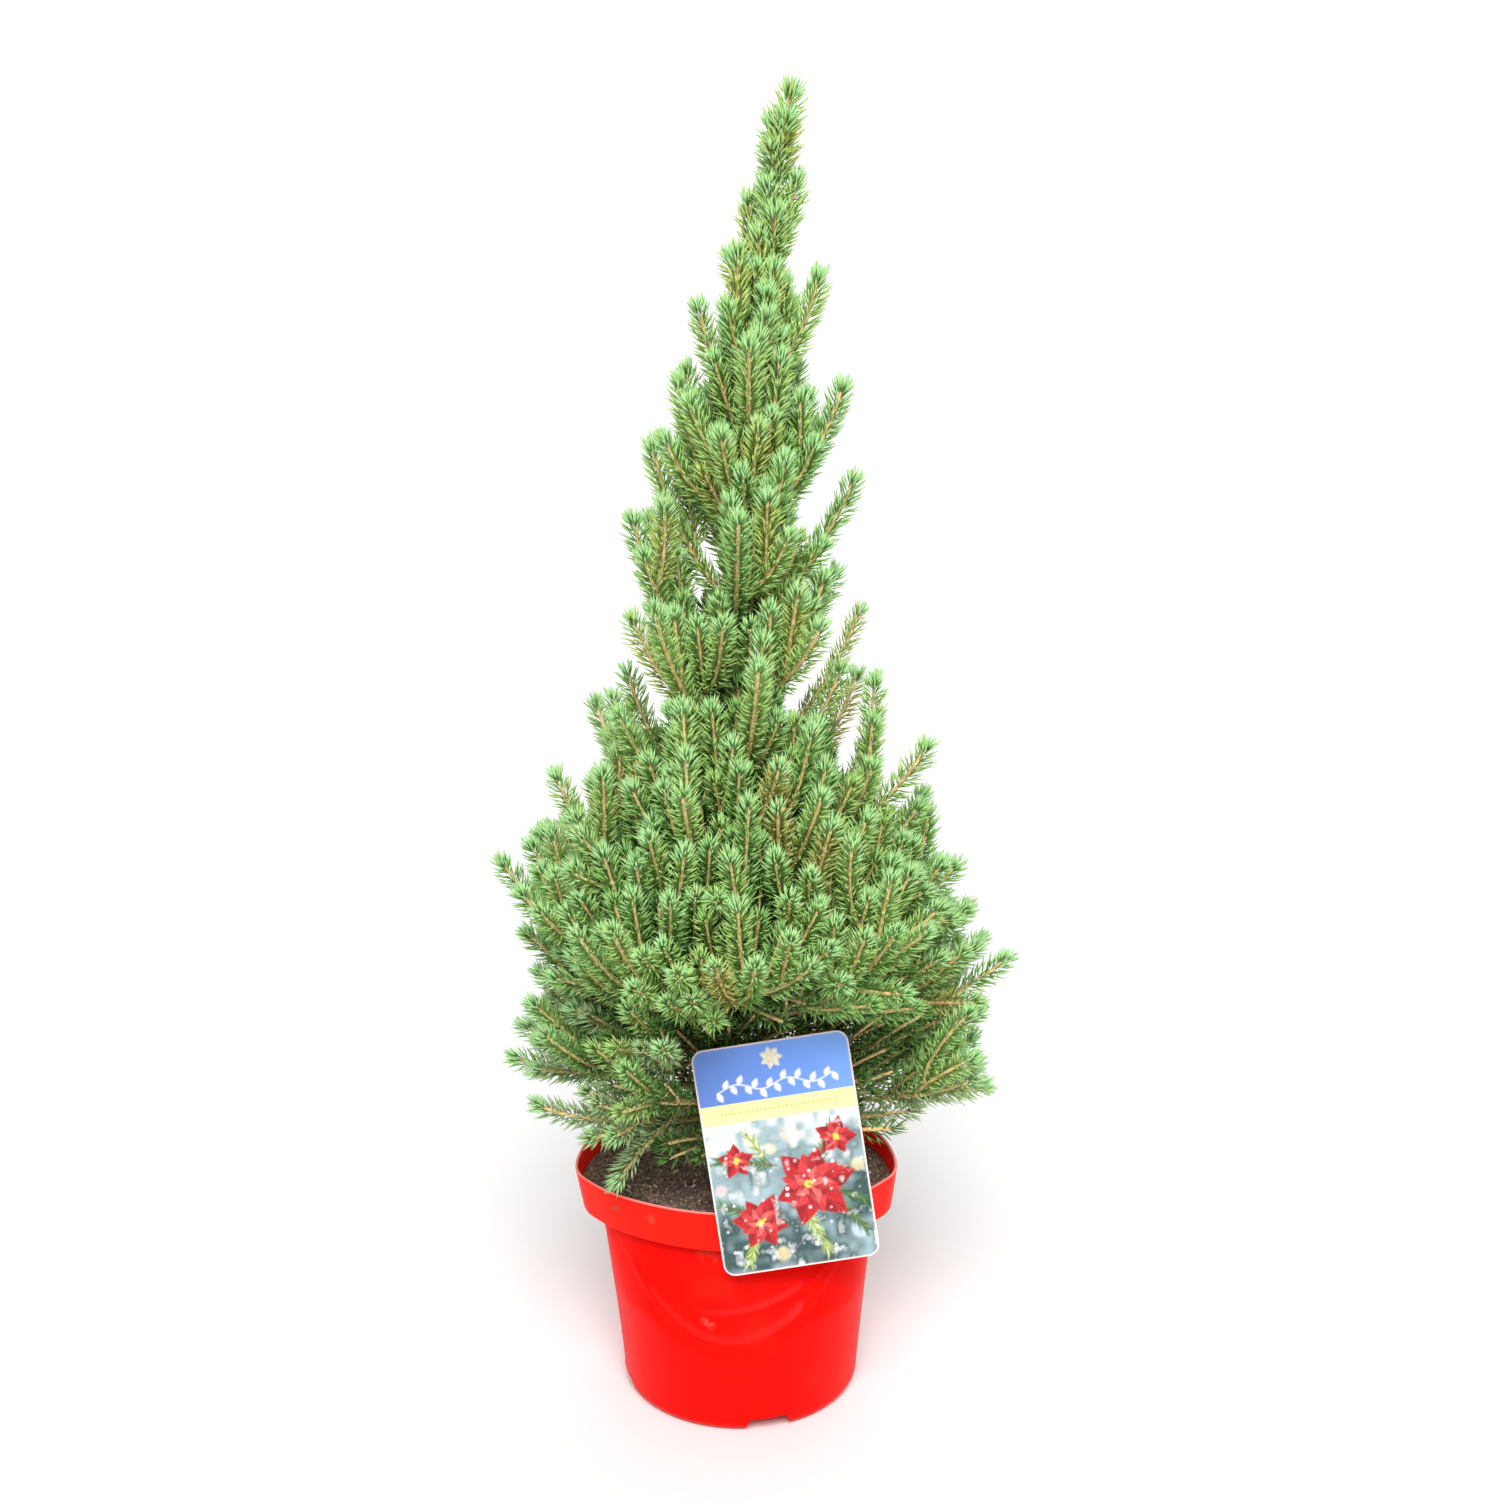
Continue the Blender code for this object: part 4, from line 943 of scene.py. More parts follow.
def pot_points(pot, columns):
    """The turned profile as a grid of angle and station, with the pockets lifted out of the underside."""
    stations, floor_z = pot_stations(pot)
    angles = np.linspace(0, 2 * math.pi, columns, endpoint=False)
    radius = np.repeat(stations[:, :1], columns, axis=1)
    height = np.repeat(stations[:, 1:], columns, axis=1)
    lift = pocket_share(angles)[None] * POCKET_HEIGHT
    outer = np.arange(len(stations)) < 126
    pocket = outer[:, None] & (radius >= POCKET_INNER) & (height < lift)
    wall_r = pot.foot_radius + (pot.shoulder_radius - pot.foot_radius) * lift / POT_HEIGHT
    curved = pocket & (radius > pot.foot_radius - pot.foot_rounding)
    radius = np.where(curved, radius + (wall_r - radius) * np.clip(lift / POCKET_HEIGHT, 0, 1) * 0.9, radius)
    height = np.where(pocket, lift, height)
    grid = np.stack([radius * np.cos(angles), radius * np.sin(angles), height], axis=-1)
    poles = np.array([[0, 0, 0.0], [0, 0, floor_z]])
    return squeezed(np.concatenate([grid.reshape(-1, 3), poles]), pot), len(stations)


# Marks on the plastic: where compost is smeared and where it is scuffed pale, as (x, y, z, radius)
SMEARS = ((-0.018, -0.050, 0.108, 0.009), (-0.075, -0.038, 0.131, 0.006), (-0.052, -0.052, 0.130, 0.005),
          (0.078, -0.030, 0.133, 0.007), (0.030, 0.075, 0.060, 0.010), (-0.050, 0.062, 0.104, 0.008))
SCUFFS = ((-0.0205, -0.0660, 0.0710, 0.0034), (-0.0165, -0.0663, 0.0685, 0.0034), (0.055, 0.050, 0.080, 0.012))


def red_plastic(pot):
    """Injection-moulded polypropylene: smooth with a soft sheen, dusty, smeared with compost near the rim, and with a
    painted highlight along the top of the rim.
    """
    material, tree, shader = plain_material("Moulded red polypropylene", 0.45, 0.07)
    place = add_node(tree, "ShaderNodeTexCoord").outputs["Object"]
    grain = add_node(tree, "ShaderNodeTexNoise", {"Vector": place, "Scale": 900.0, "Detail": 4.0}).outputs["Fac"]
    broad = add_node(tree, "ShaderNodeTexNoise", {"Vector": place, "Scale": 22.0, "Detail": 4.0}).outputs["Fac"]
    height = add_node(tree, "ShaderNodeSeparateXYZ", {"Vector": place}).outputs["Z"]
    lip = ramp(tree, height, POT_HEIGHT - pot.lip_depth - 0.001, POT_HEIGHT - pot.lip_depth + 0.001)
    body = mixed(tree, lip, rgba(pot.red), (*linear("#f81c09"), 1))
    # Painted highlight: a pale pink line along the top edge of the rim
    body = mixed(tree, ramp(tree, height, POT_HEIGHT - 0.0012, POT_HEIGHT - 0.0002), body, (*linear("#ff8f86"), 1))
    body = mixed(tree, ramp(tree, broad, 0.55, 0.9), body, (*linear("#ff2516"), 1))
    marks = ((SMEARS, rgba(pot.dirt), 170.0, 0.4, 0.75), (SCUFFS, (*linear("#ff5648"), 1), 420.0, 0.35, 0.7))
    for places, colour, scale, low, high in marks:
        total = None
        for x, y, z, radius in places:
            away = add_node(tree, "ShaderNodeVectorMath", {0: place, 1: (x, y, z)}, operation="DISTANCE")
            near = ramp(tree, away.outputs["Value"], radius, radius * 0.3)
            if total is None:
                total = near
                continue
            total = add_node(tree, "ShaderNodeMath", {0: total, 1: near}, operation="MAXIMUM").outputs[0]
        patchy = ramp(tree, add_node(tree, "ShaderNodeTexNoise", {"Vector": place, "Scale": scale, "Detail": 5.0}
                                     ).outputs["Fac"], low, high)
        factor = add_node(tree, "ShaderNodeMath", {0: total, 1: patchy}, operation="MULTIPLY").outputs[0]
        body = mixed(tree, factor, body, colour)
    tree.links.new(body, shader.inputs["Base Color"])
    rough = add_node(tree, "ShaderNodeMapRange", {"Value": broad, "To Min": 0.34, "To Max": 0.52}).outputs["Result"]
    tree.links.new(rough, shader.inputs["Roughness"])
    bump = add_node(tree, "ShaderNodeBump", {"Height": grain, "Distance": 0.00006, "Strength": 0.25})
    tree.links.new(bump.outputs["Normal"], shader.inputs["Normal"])
    return material


def card_rows(label, rows, columns):
    """Points of a card with rounded corners, x from -w(y) to w(y), where w follows the corner arcs near each end."""
    half_h, corner = label.height / 2, label.corner
    inner = np.linspace(-half_h + corner, half_h - corner, rows)
    arc = corner * np.sin(np.radians(np.linspace(0, 90, 9)))[1:]
    y = np.concatenate([-half_h + corner - arc[::-1], inner, half_h - corner + arc])
    past = np.clip(abs(y) - (half_h - corner), 0, corner)
    width = label.width / 2 - corner + np.sqrt(corner**2 - past**2)
    share = np.linspace(-1, 1, columns)
    return np.stack([share[None] * width[:, None], np.repeat(y[:, None], columns, axis=1)], axis=-1)


def blended(colour, over, mask):
    return colour + (np.asarray(linear(over)) - colour) * mask[..., None]


def edge(distance, soft=0.00035):
    """1 inside a shape whose signed distance is negative, 0 outside, soft at its edge."""
    return np.clip(0.5 - distance / (2 * soft), 0, 1)


# The print: soft lights as (x, y, radius, colour), sprigs as (root, bearing, length, colours) and flowers as (centre,
# radius, petals, turn)
LIGHTS = ((-0.036, 0.012, 0.0045, "#fff6d2"), (-0.020, 0.016, 0.0030, "#ffffff"), (0.004, 0.011, 0.0052, "#f3d9c8"),
          (0.040, -0.012, 0.0040, "#ffeeb4"), (-0.040, -0.016, 0.0034, "#fbd9d2"), (0.016, 0.018, 0.0026, "#ffffff"),
          (-0.010, -0.058, 0.0042, "#ffe9a8"), (0.036, -0.050, 0.0050, "#dff0ff"), (-0.008, 0.004, 0.0030, "#fff3c0"))
DARK_SPRIG = ("#3f6a38", "#5c8a47", "#2f5230")
PALE_SPRIG = ("#a9bf5e", "#d6e39a", "#7f9f4c")
SPRIGS = (((0.012, -0.018), 62, 0.034, DARK_SPRIG), ((0.012, -0.018), -28, 0.034, DARK_SPRIG),
          ((-0.020, -0.036), 152, 0.024, DARK_SPRIG), ((-0.020, -0.036), 248, 0.026, PALE_SPRIG),
          ((0.006, -0.034), -68, 0.028, PALE_SPRIG), ((-0.006, -0.006), 168, 0.034, DARK_SPRIG),
          ((-0.012, -0.002), 118, 0.018, PALE_SPRIG), ((0.024, -0.030), -52, 0.026, DARK_SPRIG))
FLOWERS = (((-0.029, 0.000), 0.0105, 5, 0.3), ((0.030, 0.006), 0.0125, 5, 0.0), ((-0.020, -0.038), 0.0175, 6, 0.9),
           ((0.012, -0.020), 0.0250, 6, 0.2))


def stroke(x, y, start, end, width):
    """Signed distance to a line that narrows from width to a third of it."""
    (ax, ay), (bx, by) = start, end
    dx, dy = bx - ax, by - ay
    along = np.clip(((x - ax) * dx + (y - ay) * dy) / (dx * dx + dy * dy), 0, 1)
    return np.hypot(x - ax - along * dx, y - ay - along * dy) - width * (1 - 0.67 * along)


def add_sprig(colour, x, y, root, bearing, length, shades, rng):
    """A printed sprig: needles in pairs along a straight stem."""
    heading = np.array([math.cos(bearing), math.sin(bearing)])
    for share in np.linspace(0.08, 1.0, round(length / 0.0011)):
        for side in (-1, 1):
            turn = bearing + side * rng.uniform(0.5, 1.0) * (1.1 - 0.5 * share)
            foot = np.array(root) + heading * length * share
            tip = foot + rng.uniform(0.0045, 0.0070) * np.array([math.cos(turn), math.sin(turn)])
            colour = blended(colour, shades[rng.integers(len(shades))], edge(stroke(x, y, foot, tip, 0.00045), 0.0003))
    return blended(colour, "#8a6a48", edge(stroke(x, y, root, np.array(root) + heading * length, 0.0005)) * 0.8)


def add_petal(colour, x, y, centre, turn, radius, shades):
    """A printed petal: pointed at both ends, brighter towards its tip and on one side of its vein."""
    dx, dy = (x - centre[0]) / radius, (y - centre[1]) / radius
    along = dx * math.cos(turn) + dy * math.sin(turn)
    across = dy * math.cos(turn) - dx * math.sin(turn)
    half = 0.29 * np.sin(math.pi * np.clip(along, 0, 1) ** 0.8)
    mask = edge((abs(across) - half) * radius, 0.0004) * (along > 0) * (along < 1)
    light = np.clip(0.15 + 0.6 * along + 0.25 * np.sign(across + 0.3 * (0.5 - along)), 0, 1)
    light = np.clip(light + 0.35 * np.exp(-((across / 0.035) ** 2)), 0, 1)[..., None]
    dark, bright = np.array(linear(shades[0])), np.array(linear(shades[1]))
    return colour + (dark + (bright - dark) * light - colour) * mask[..., None]


def printed(label, x, y):
    """The card's generic print: blue head with a garland, yellow band, and a picture of frosted winter flowers."""
    half_w, half_h = label.width / 2, label.height / 2
    head, band = half_h - 0.25 * label.height, half_h - 0.335 * label.height
    rng = np.random.default_rng(SEED)
    flat = np.stack([x, y, np.zeros_like(x)], axis=-1).reshape(-1, 3) + 3
    broad = hash_noise(flat / 0.016, 5).reshape(x.shape)
    middle = hash_noise(flat / 0.005, 6).reshape(x.shape)
    fine = hash_noise(flat / 0.0012, 7).reshape(x.shape)
    colour = np.empty((*x.shape, 3))
    colour[:] = linear("#9fb7bd")
    colour = blended(colour, "#2f4b49", np.clip(0.62 + 0.8 * broad + 0.5 * middle - (y + half_h) * 5, 0, 0.95))
    colour = blended(colour, "#f1f5f6", np.clip(0.1 + 0.8 * middle - broad * 0.7 + (y + 0.004) * 22, 0, 0.85))
    for at_x, at_y, size, shade in LIGHTS:
        colour = blended(colour, shade, edge(np.hypot(x - at_x, y - at_y) - size, 0.0009) * 0.55)
    for root, bearing, length, shades in SPRIGS:
        colour = add_sprig(colour, x, y, root, math.radians(bearing), length, shades, rng)
    for centre, radius, petals, turn in FLOWERS:
        for ring, (reach, count) in enumerate(((1.0, petals), (0.78, petals), (0.5, petals - 1))):
            for petal in range(count):
                aim = turn + ring * 0.5 + 2 * math.pi * petal / count + rng.uniform(-0.12, 0.12)
                shades = (("#7a0c14", "#d32a30"), ("#8e1018", "#e8474a"), ("#a0141c", "#f47a72"))[ring]
                colour = add_petal(colour, x, y, centre, aim, radius * reach * rng.uniform(0.88, 1.08), shades)
        for _ in range(9):
            at = np.array(centre) + rng.normal(0, radius * 0.07, 2)
            colour = blended(colour, "#f2cf55", edge(np.hypot(x - at[0], y - at[1]) - 0.0009, 0.0003))
    frost = np.clip(middle * 0.9 + fine * 0.25 - 0.5 + np.clip(-0.044 - y, 0, 0.01) * 30, 0, 0.7)
    colour = blended(colour, "#f4f8fb", frost)
    for _ in range(60):
        at_x, at_y = rng.uniform(-half_w, half_w), rng.uniform(-half_h, band)
        flake = edge(np.hypot(x - at_x, y - at_y) - rng.uniform(0.0003, 0.0011), 0.0004)
        colour = blended(colour, "#ffffff", flake * rng.uniform(0.4, 0.9))
    colour = colour * (1 + 0.07 * fine[..., None])
    colour = np.where((y > band)[..., None], np.asarray(tuple(label.band)), colour)
    for step in np.linspace(-1, 1, 27):
        dot = edge(np.hypot((x - step * half_w * 0.72) * 0.8, y - (band + head) / 2) - 0.0006)
        colour = blended(colour, "#c9ae62", dot * (y > band) * 0.8)
    glow = np.clip(0.86 + 5 * x + 4 * (y - head), 0.7, 1.35)[..., None]
    colour = np.where((y > head)[..., None], np.asarray(tuple(label.header)) * glow, colour)
    wave = head + 0.0085 + 0.0022 * np.sin(x * 210)
    colour = blended(colour, "#f7f9ff", edge(abs(y - wave) - 0.0004) * (abs(x) < 0.034) * (y > head))
    for step in range(-8, 9):
        at_x = step * 0.0042
        at = (at_x, head + 0.0085 + 0.0022 * math.sin(at_x * 210))
        aim = (1 if step % 2 else -1) * 1.1
        colour = add_petal(colour, x, y, at, aim, 0.0062, ("#e8eefc", "#ffffff"))
    for petal in range(7):
        crest = (0.0, head + 0.0235)
        colour = add_petal(colour, x, y, crest, 2 * math.pi * petal / 7, 0.0068, ("#f1dfb4", "#fffdf2"))
    past = np.hypot(np.maximum(abs(x) - half_w + label.corner, 0), np.maximum(abs(y) - half_h + label.corner, 0))
    inset = np.minimum(label.corner - past, np.minimum(half_w - abs(x), half_h - abs(y)))
    return np.clip(blended(colour, "#fbe3e2", edge(inset - 0.0009)), 0, 1)


class SPRUCE_OT_pot(bpy.types.Operator):
    """Makes the squeezed nursery pot with its lip, crease and drainage pockets"""

    bl_idname = "spruce.pot"
    bl_label = "Pot"

    def execute(self, context):
        pot = context.scene.spruce_pot
        columns = 360
        points, rows = pot_points(pot, columns)
        size = rows * columns
        fans = np.concatenate([fan_faces(size, 0, columns, True), fan_faces(size + 1, size - columns, columns, False)])
        piece = add_mesh("nursery_pot", points, (grid_faces(rows, columns), fans), [red_plastic(pot)])
        piece.data.set_sharp_from_angle(angle=math.radians(40))
        dress(piece, "pot", "pot")
        return {"FINISHED"}


class SPRUCE_OT_soil(bpy.types.Operator):
    """Fills the pot with peat compost and strews crumbs and bark flecks on it"""

    bl_idname = "spruce.soil"
    bl_label = "Compost"

    def execute(self, context):
        soil, pot = context.scene.spruce_soil, context.scene.spruce_pot
        rng = np.random.default_rng(SEED)
        edge_r = pot.rim_radius - pot.wall - 0.0012
        low_r = pot.shoulder_radius - pot.wall - GAP
        columns = 300
        radii = np.concatenate([np.linspace(0.0005, edge_r, 110), [edge_r, low_r - 0.002, low_r - 0.008]])
        top = SOIL_HEIGHT + 0.002 - 0.001 * (radii / edge_r) ** 2
        top[-3:] = (POT_HEIGHT - pot.lip_depth + 0.003, POT_HEIGHT - pot.lip_depth - 0.004, POCKET_HEIGHT + 0.006)
        angles = np.linspace(0, 2 * math.pi, columns, endpoint=False)
        flat = np.stack([radii[:, None] * np.cos(angles), radii[:, None] * np.sin(angles),
                         np.repeat(top[:, None], columns, axis=1)], axis=-1).reshape(-1, 3)
        surface = np.repeat(np.arange(len(radii)) < 110, columns)
        lumps = 0.0011 * hash_noise(flat * 180 + 40, 3) + 0.0008 * hash_noise(flat * 520 + 90, 4)
        calm = 1 - np.clip((np.hypot(flat[:, 0], flat[:, 1]) - edge_r + 0.002) / 0.002, 0, 1) * 0.8
        flat[:, 2] += np.where(surface, lumps * calm - 0.0004, 0)
        poles = np.array([[0, 0, SOIL_HEIGHT + 0.002], [0, 0, POCKET_HEIGHT + 0.006]])
        points = squeezed(np.concatenate([flat, poles]), pot)
        size = len(flat)
        fans = np.concatenate([fan_faces(size, 0, columns, False), fan_faces(size + 1, size - columns, columns, True)])
        quads = grid_faces(len(radii), columns)[:, ::-1]
        piece = add_mesh("compost", points, (quads, fans), [self.peat(soil)])
        dress(piece, "soil", "soil")

        count = soil.crumbs
        reach = np.sqrt(rng.random(count)) * (edge_r - 0.003)
        bearing = rng.uniform(0, 2 * math.pi, count)
        size = soil.crumb_size * rng.uniform(0.25, 1, count) ** 1.6
        place = np.stack([reach * np.cos(bearing), reach * np.sin(bearing),
                          SOIL_HEIGHT + 0.002 - 0.001 * (reach / edge_r) ** 2 + size * 0.25], axis=-1)
        place = squeezed(place, pot)
        axes = unit(rng.normal(size=(count, 3, 3)))
        stretch = rng.uniform([0.5, 0.35, 0.3], [1.7, 0.9, 0.6], (count, 3))
        corners = np.array([[1, 0, 0], [-1, 0, 0], [0, 1, 0], [0, -1, 0], [0, 0, 1], [0, 0, -1.0]])
        reach = corners[None] * (stretch * size[:, None])[:, None]
        crumbs = place[:, None] + np.einsum("nki,nij->nkj", reach, axes)
        faces = np.array([[0, 2, 4], [2, 1, 4], [1, 3, 4], [3, 0, 4], [2, 0, 5], [1, 2, 5], [3, 1, 5], [0, 3, 5]])
        flip = np.linalg.det(axes) < 0
        both = np.where(flip[:, None, None], faces[None, :, ::-1], faces[None])
        both = both + (np.arange(count) * 6)[:, None, None]
        shades = np.repeat(rng.choice(3, count, p=(0.50, 0.38, 0.12)), len(faces))
        materials = [self.crumb(soil, "dark"), self.crumb(soil, "brown"), self.crumb(soil, "fleck")]
        piece = add_mesh("compost_crumbs", crumbs.reshape(-1, 3), (both.reshape(-1, 3),), materials, [shades], False)
        dress(piece, "soil")
        return {"FINISHED"}

    def peat(self, soil):
        """Damp peat compost: matt, dark, with browner fibre patches of a few millimetres."""
        material, tree, shader = plain_material("Damp peat compost", 0.95, 0.2)
        place = add_node(tree, "ShaderNodeTexCoord").outputs["Object"]
        noise = add_node(tree, "ShaderNodeTexNoise", {"Vector": place, "Scale": 420.0, "Detail": 6.0}).outputs["Fac"]
        colour = mixed(tree, ramp(tree, noise, 0.42, 0.68), rgba(soil.dark, 0.75), rgba(soil.brown))
        tree.links.new(colour, shader.inputs["Base Color"])
        bump = add_node(tree, "ShaderNodeBump", {"Height": noise, "Distance": 0.0012, "Strength": 0.8})
        tree.links.new(bump.outputs["Normal"], shader.inputs["Normal"])
        return material

    def crumb(self, soil, name):
        """Crumbs of peat, fibre and bark, each kind in one plain colour, matt."""
        material, _, shader = plain_material(f"Compost crumb {name}", 0.95, 0.2)
        shader.inputs["Base Color"].default_value = rgba(getattr(soil, name))
        return material


class SPRUCE_OT_label(bpy.types.Operator):
    """Makes the card label with its generic print, hooked over the rim by a tongue"""

    bl_idname = "spruce.label"
    bl_label = "Label"

    def execute(self, context):
        label = context.scene.spruce_label
        matrix = np.array(card_frame())
        front = card_rows(label, 280, 205)
        rows, columns = front.shape[:2]
        half = label.thickness / 2
        bevel = np.ones((rows, columns))
        bevel[[0, -1]] = bevel[:, 0] = bevel[:, -1] = 0.5
        count = rows * columns
        index = np.arange(count).reshape(rows, columns)
        loop = np.concatenate([index[0, :-1], index[:-1, -1], index[-1, :0:-1], index[:0:-1, 0]])
        flat = np.concatenate([front, (half * bevel)[..., None]], axis=-1).reshape(-1, 3)
        behind = flat[loop] * (1, 1, -1)
        local = np.concatenate([flat, behind, [[0, 0, -half]]])
        first, ring = count, np.arange(len(loop))
        after = np.roll(ring, -1)
        rim = np.stack([loop, first + ring, first + after, loop[after]], axis=-1)
        back = np.stack([np.full(len(loop), len(local) - 1), first + after, first + ring], axis=-1)
        points = local @ matrix[:3, :3].T + matrix[:3, 3]
        piece = add_mesh("card_label", points, (grid_faces(rows, columns, False), rim, back), [self.print_card()])
        colour = np.ones((len(local), 4))
        colour[:, :3] = linear("#f3f1ee")
        colour[:count, :3] = printed(label, front[..., 0], front[..., 1]).reshape(-1, 3)
        layer = piece.data.color_attributes.new("print", "FLOAT_COLOR", "POINT")
        layer.data.foreach_set("color", colour.astype(np.float32).reshape(-1))
        piece.data.set_sharp_from_angle(angle=math.radians(35))
        dress(piece, "label", "label")
        self.tongue(label)
        return {"FINISHED"}

    def tongue(self, label):
        """The strip that hooks over the rim: the tongue's side line with a thickness, carried across its width."""
        low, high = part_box("label")
        across = 0.013
        rim_top = POT_HEIGHT + GAP
        behind = float(high.y) - label.thickness
        front = CARD_CENTRE[1] - (CARD_CENTRE[2] - rim_top - 0.00175) * math.tan(math.radians(12)) + 0.0002
        line = np.array([(front, rim_top + 0.0031), (behind - 0.003, rim_top + 0.0031), (behind - 0.0006, rim_top + 0.0025),
                         (behind, rim_top + 0.0012), (behind, SOIL_HEIGHT + 0.0006)])
        known = np.concatenate([[0], np.cumsum(np.linalg.norm(np.diff(line, axis=0), axis=1))])
        line = interpolate(np.linspace(0, known[-1], 40), known, line)
        slope = unit(np.gradient(line, axis=0))
        out = np.stack([-slope[:, 1], slope[:, 0]], axis=-1) * label.thickness / 2
        section = np.stack([line + out, line - out], axis=1)
        x = CARD_CENTRE[0] + across / 2 * np.array([-1, 1])
        corners = np.array([(0, 0), (0, 1), (1, 1), (1, 0)])
        points = np.stack([np.repeat(x[corners[:, 0]][None], len(line), axis=0),
                           section[:, corners[:, 1], 0], section[:, corners[:, 1], 1]], axis=-1)
        size = len(line) * 4
        caps = np.array([[3, 2, 1, 0], [size - 4, size - 3, size - 2, size - 1]])
        material, _, shader = plain_material("Clear-white label plastic", 0.3, 0.5)
        shader.inputs["Base Color"].default_value = (*linear("#f3f1ee"), 1)
        piece = add_mesh("label_tongue", points.reshape(-1, 3), (grid_faces(len(line), 4), caps), [material], None, False)
        dress(piece, "label")

    def print_card(self):
        """Offset print under a clear film: bright colours with an even, low gloss."""
        material, tree, shader = plain_material("Film-coated printed card", 0.38, 0.4)
        colour = add_node(tree, "ShaderNodeAttribute", attribute_name="print").outputs["Color"]
        tree.links.new(colour, shader.inputs["Base Color"])
        return material


class SPRUCE_OT_trunk(bpy.types.Operator):
    """Makes the trunk with its root flare and the bare boughs, all with bark relief"""

    bl_idname = "spruce.trunk"
    bl_label = "Trunk and boughs"

    def execute(self, context):
        bark = context.scene.spruce_bark
        low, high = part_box("trunk")
        heights = np.linspace(float(low.z), float(high.z), 900)
        points = np.array([trunk_at(z) for z in heights])
        points[:, 0] += 0.0004 * np.sin(heights * 90)
        flare = trunk_radius(heights)
        shape = bark_tube(points, flare, 40, bark.relief, 1)
        piece = add_mesh("trunk_bark", shape[0], shape[1:], [old_bark(bark)])
        dress(piece, "bark", "trunk")

        parts, nodes = [], []
        for tier in TIERS:
            for limb in tier.limbs if tier.bare else ():
                line = evenly(*limb_curve(limb), 0.0009, 0, tier.bare)
                radii = np.linspace(BOUGH_RADIUS, BOUGH_TIP_RADIUS, len(line))
                parts.append(bark_tube(line, radii, 16, bark.relief, len(parts) + 2))
                nodes.append(f"bough_{tier.name}_{limb.place}")
        offsets = np.cumsum([0] + [len(part[0]) for part in parts[:-1]])
        faces = [np.concatenate([part[i] + offset for part, offset in zip(parts, offsets)]) for i in (1, 2)]
        piece = add_mesh("bough_bark", np.concatenate([part[0] for part in parts]), faces, [old_bark(bark)])
        dress(piece, "bark", *nodes)
        return {"FINISHED"}


class SPRUCE_OT_foliage(bpy.types.Operator):
    """Grows the twigs of every mass on from the limbs and clothes them with needles"""

    bl_idname = "spruce.foliage"
    bl_label = "Twigs and needles"

    def execute(self, context):
        limbs = limb_space()
        shoots, plans = grow_main_shoots(limbs)
        shoots = grow_finer_twigs(shoots, plans, limbs)
        settings = context.scene.spruce_needles
        needles, wood = needle_materials(settings), young_wood(context.scene.spruce_bark)
        for number, spray in enumerate(SPRAYS):
            rng = np.random.default_rng((SEED, 900 + number))
            colours, shares = zip(*spray.deal)
            clothed = {}
            for shoot in shoots:
                if shoot.tier.name in spray.tiers:
                    colour = colours[rng.choice(len(colours), p=shares)]
                    # Painted shade: shoots whose tips lie deep inside the crown take the darker shade green
                    colour = "shade" if depth_in_crown(shoot.samples[-1]) > SHADE_DEPTH else colour
                    clothed.setdefault(shoot.mass, []).append((shoot, *clothe(shoot, colour, settings, rng)))
            for part, group in enumerate(batches(clothed)):
                self.add_spray(f"{spray.name}_{part + 1}", group, needles, wood)
        return {"FINISHED"}

    def add_spray(self, name, group, needles, wood):
        """The needles and the stems of a group of masses, each kind joined in one piece."""
        members = [entry for entries in group.values() for entry in entries]
        points = np.concatenate([entry[1] for entry in members])
        shades = np.concatenate([entry[2] for entry in members])
        faces = NEEDLE_FACES[None] + (np.arange(len(points)) * points.shape[1])[:, None, None]
        indices = np.repeat(shades, len(NEEDLE_FACES))
        piece = add_mesh(f"needles_{name}", points.reshape(-1, 3), (faces.reshape(-1, 3),), needles, [indices])
        dress(piece, "foliage", *(f"foliage_{mass}" for mass in group))
        stems = twig_tubes([entry[0] for entry in members])
        dress(add_mesh(f"twigs_{name}", stems[0], stems[1:], [wood]), "bark")
        print(name, len(members), "shoots", len(points), "needles")


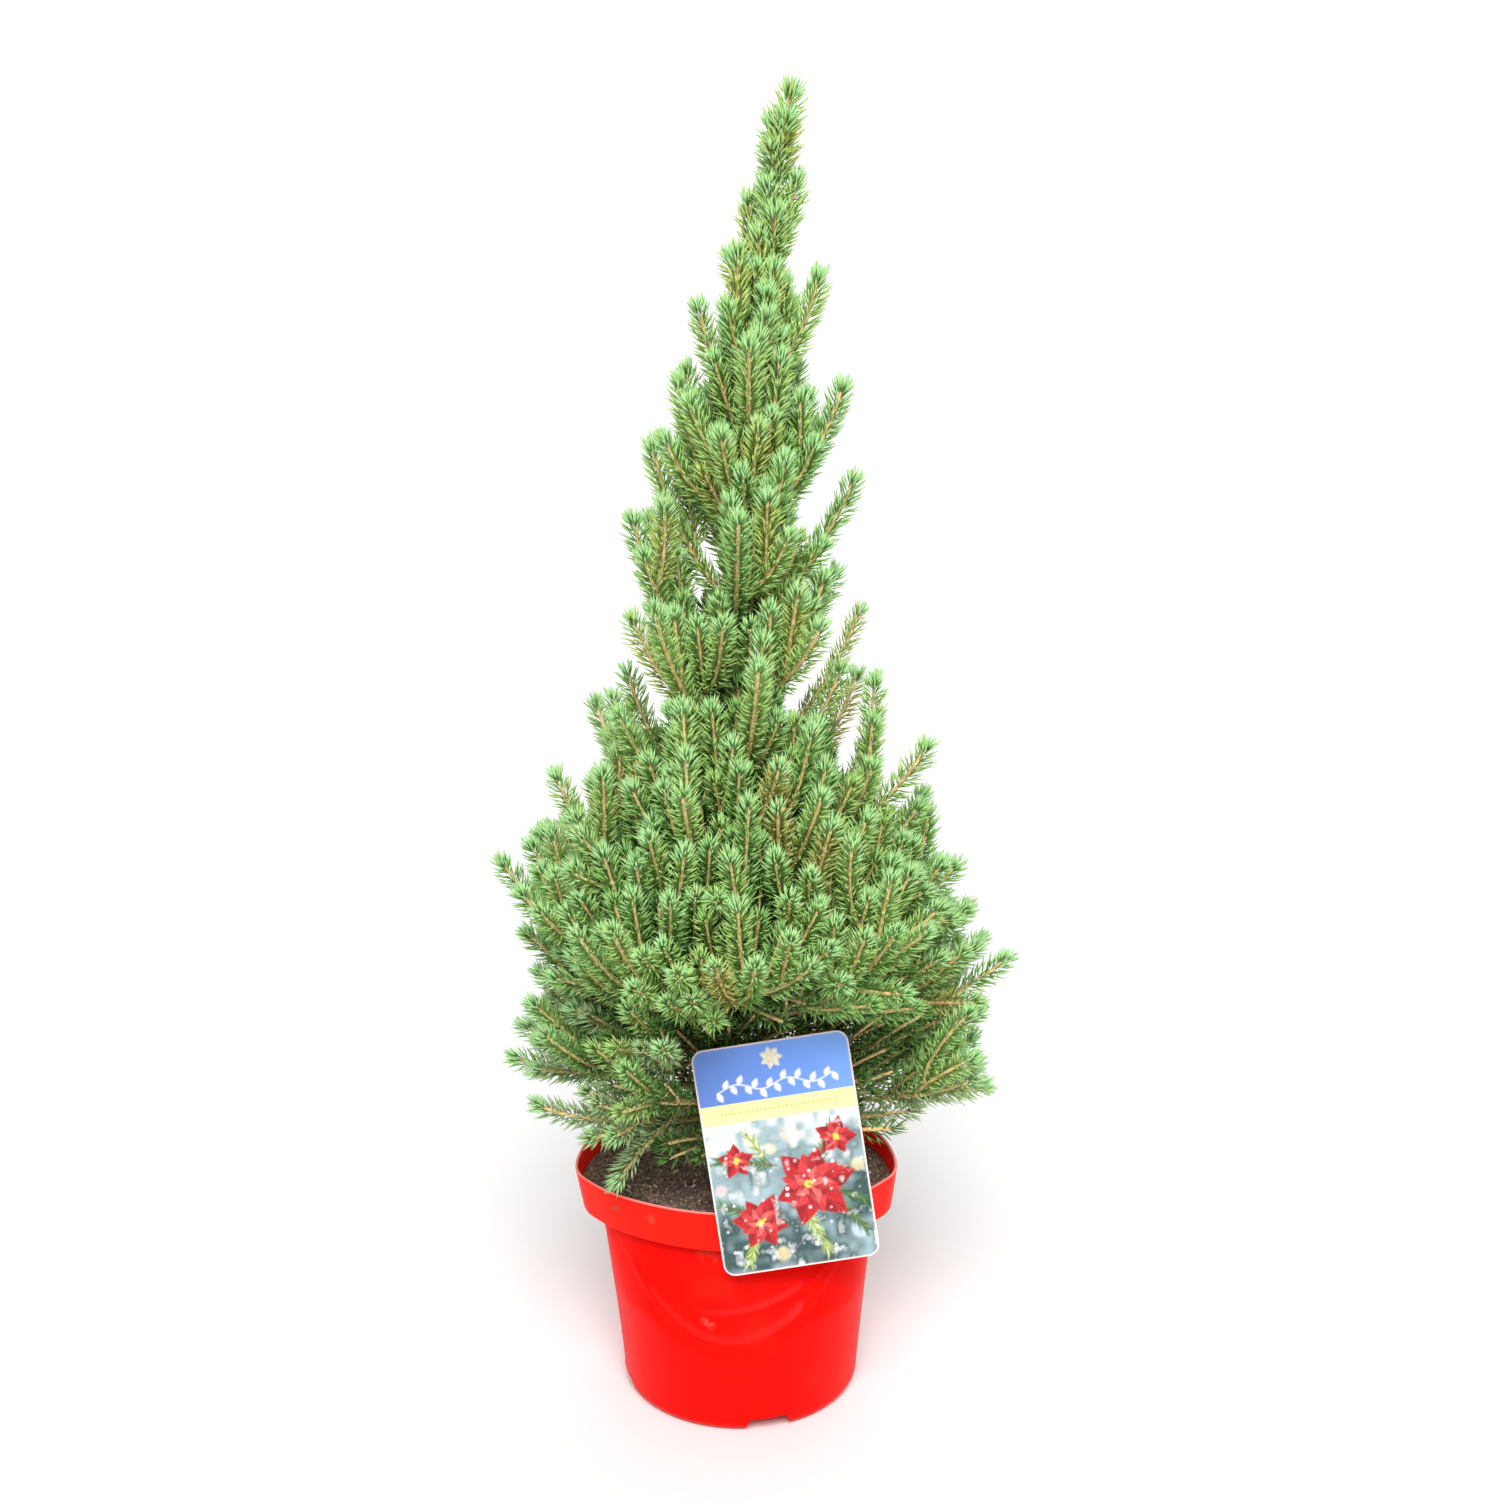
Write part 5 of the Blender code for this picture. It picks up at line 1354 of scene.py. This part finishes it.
class SPRUCE_OT_stage(bpy.types.Operator):
    """Sets the pale floor, the soft light and the camera"""

    bl_idname = "spruce.stage"
    bl_label = "Stage"

    def execute(self, context):
        stage = context.scene.spruce_stage
        material, _, shader = plain_material("Pale matt floor", 0.9, 0.1)
        shader.inputs["Base Color"].default_value = rgba(stage.floor)
        turns = np.linspace(0, 2 * math.pi, 96, endpoint=False)
        rise = np.radians(np.linspace(0, 90, 12))
        profile = [(0.01, 0.0), (stage.flat, 0.0)]
        profile += [(stage.flat + stage.cove * math.sin(a), stage.cove * (1 - math.cos(a))) for a in rise[1:]]
        profile.append((stage.flat + stage.cove, stage.wall))
        radius, height = np.array(profile).T
        grid = np.stack([radius[:, None] * np.cos(turns), radius[:, None] * np.sin(turns),
                         np.repeat(height[:, None], len(turns), axis=1)], axis=-1).reshape(-1, 3)
        points = np.concatenate([grid, np.zeros((1, 3))])
        faces = (grid_faces(len(radius), len(turns))[:, ::-1], fan_faces(len(grid), 0, len(turns), False))
        add_mesh("floor", points, faces, [material])

        world = bpy.data.worlds.new("Even white studio")
        context.scene.world = world
        world.use_nodes = True
        world.node_tree.nodes["Background"].inputs["Color"].default_value = (1, 1, 1, 1)
        world.node_tree.nodes["Background"].inputs["Strength"].default_value = stage.sky

        lights = (("key", (-0.02, -1.0, 1.25), stage.key, 32), ("top", (0.1, 0.1, 1.0), 0.3, 50),
                  ("fill", (1.2, -1.4, 1.2), 0.6, 50), ("back", (0.2, 1.0, 0.45), 0.9, 60))
        for name, place, energy, width in lights:
            data = bpy.data.lights.new(name, "SUN")
            data.energy = energy
            data.angle = math.radians(width)
            lamp = bpy.data.objects.new(name, data)
            lamp.rotation_euler = (-Vector(place)).to_track_quat("-Z", "Y").to_euler()
            context.scene.collection.objects.link(lamp)

        data = bpy.data.cameras.new("camera")
        data.lens = stage.lens
        data.sensor_width = 36
        camera = bpy.data.objects.new("camera", data)
        camera.location = VIEWPOINT
        camera.rotation_euler = (math.pi / 2 - stage.pitch, 0, 0)
        context.scene.collection.objects.link(camera)
        context.scene.camera = camera
        context.scene.view_settings.view_transform = "Standard"
        return {"FINISHED"}


class SPRUCE_PT_panel(bpy.types.Panel):
    """Lists the pieces of the potted spruce with their settings"""

    bl_idname = "SPRUCE_PT_panel"
    bl_label = "Potted spruce"
    bl_space_type = "VIEW_3D"
    bl_region_type = "UI"
    bl_category = "Spruce"

    def draw(self, context):
        for operator, group in STEPS:
            box = self.layout.box()
            box.operator(operator.bl_idname)
            settings = getattr(context.scene, group)
            for name in settings.__annotations__:
                box.prop(settings, name)


STEPS = (
    (SPRUCE_OT_stage, "spruce_stage"),
    (SPRUCE_OT_pot, "spruce_pot"),
    (SPRUCE_OT_soil, "spruce_soil"),
    (SPRUCE_OT_label, "spruce_label"),
    (SPRUCE_OT_trunk, "spruce_bark"),
    (SPRUCE_OT_foliage, "spruce_needles"),
)
SETTINGS = {
    "spruce_stage": SpruceStageSettings,
    "spruce_pot": SprucePotSettings,
    "spruce_soil": SpruceSoilSettings,
    "spruce_label": SpruceLabelSettings,
    "spruce_bark": SpruceBarkSettings,
    "spruce_needles": SpruceNeedleSettings,
}


def register():
    for name, group in SETTINGS.items():
        bpy.utils.register_class(group)
        setattr(bpy.types.Scene, name, bpy.props.PointerProperty(type=group))
    for operator, _ in STEPS:
        bpy.utils.register_class(operator)
    bpy.utils.register_class(SPRUCE_PT_panel)


def unregister():
    bpy.utils.unregister_class(SPRUCE_PT_panel)
    for operator, _ in reversed(STEPS):
        bpy.utils.unregister_class(operator)
    for name, group in SETTINGS.items():
        delattr(bpy.types.Scene, name)
        bpy.utils.unregister_class(group)


def main():
    register()
    bpy.ops.spruce.stage()
    bpy.ops.spruce.pot()
    bpy.ops.spruce.soil()
    bpy.ops.spruce.label()
    bpy.ops.spruce.trunk()
    bpy.ops.spruce.foliage()


if __name__ == "__main__":
    main()
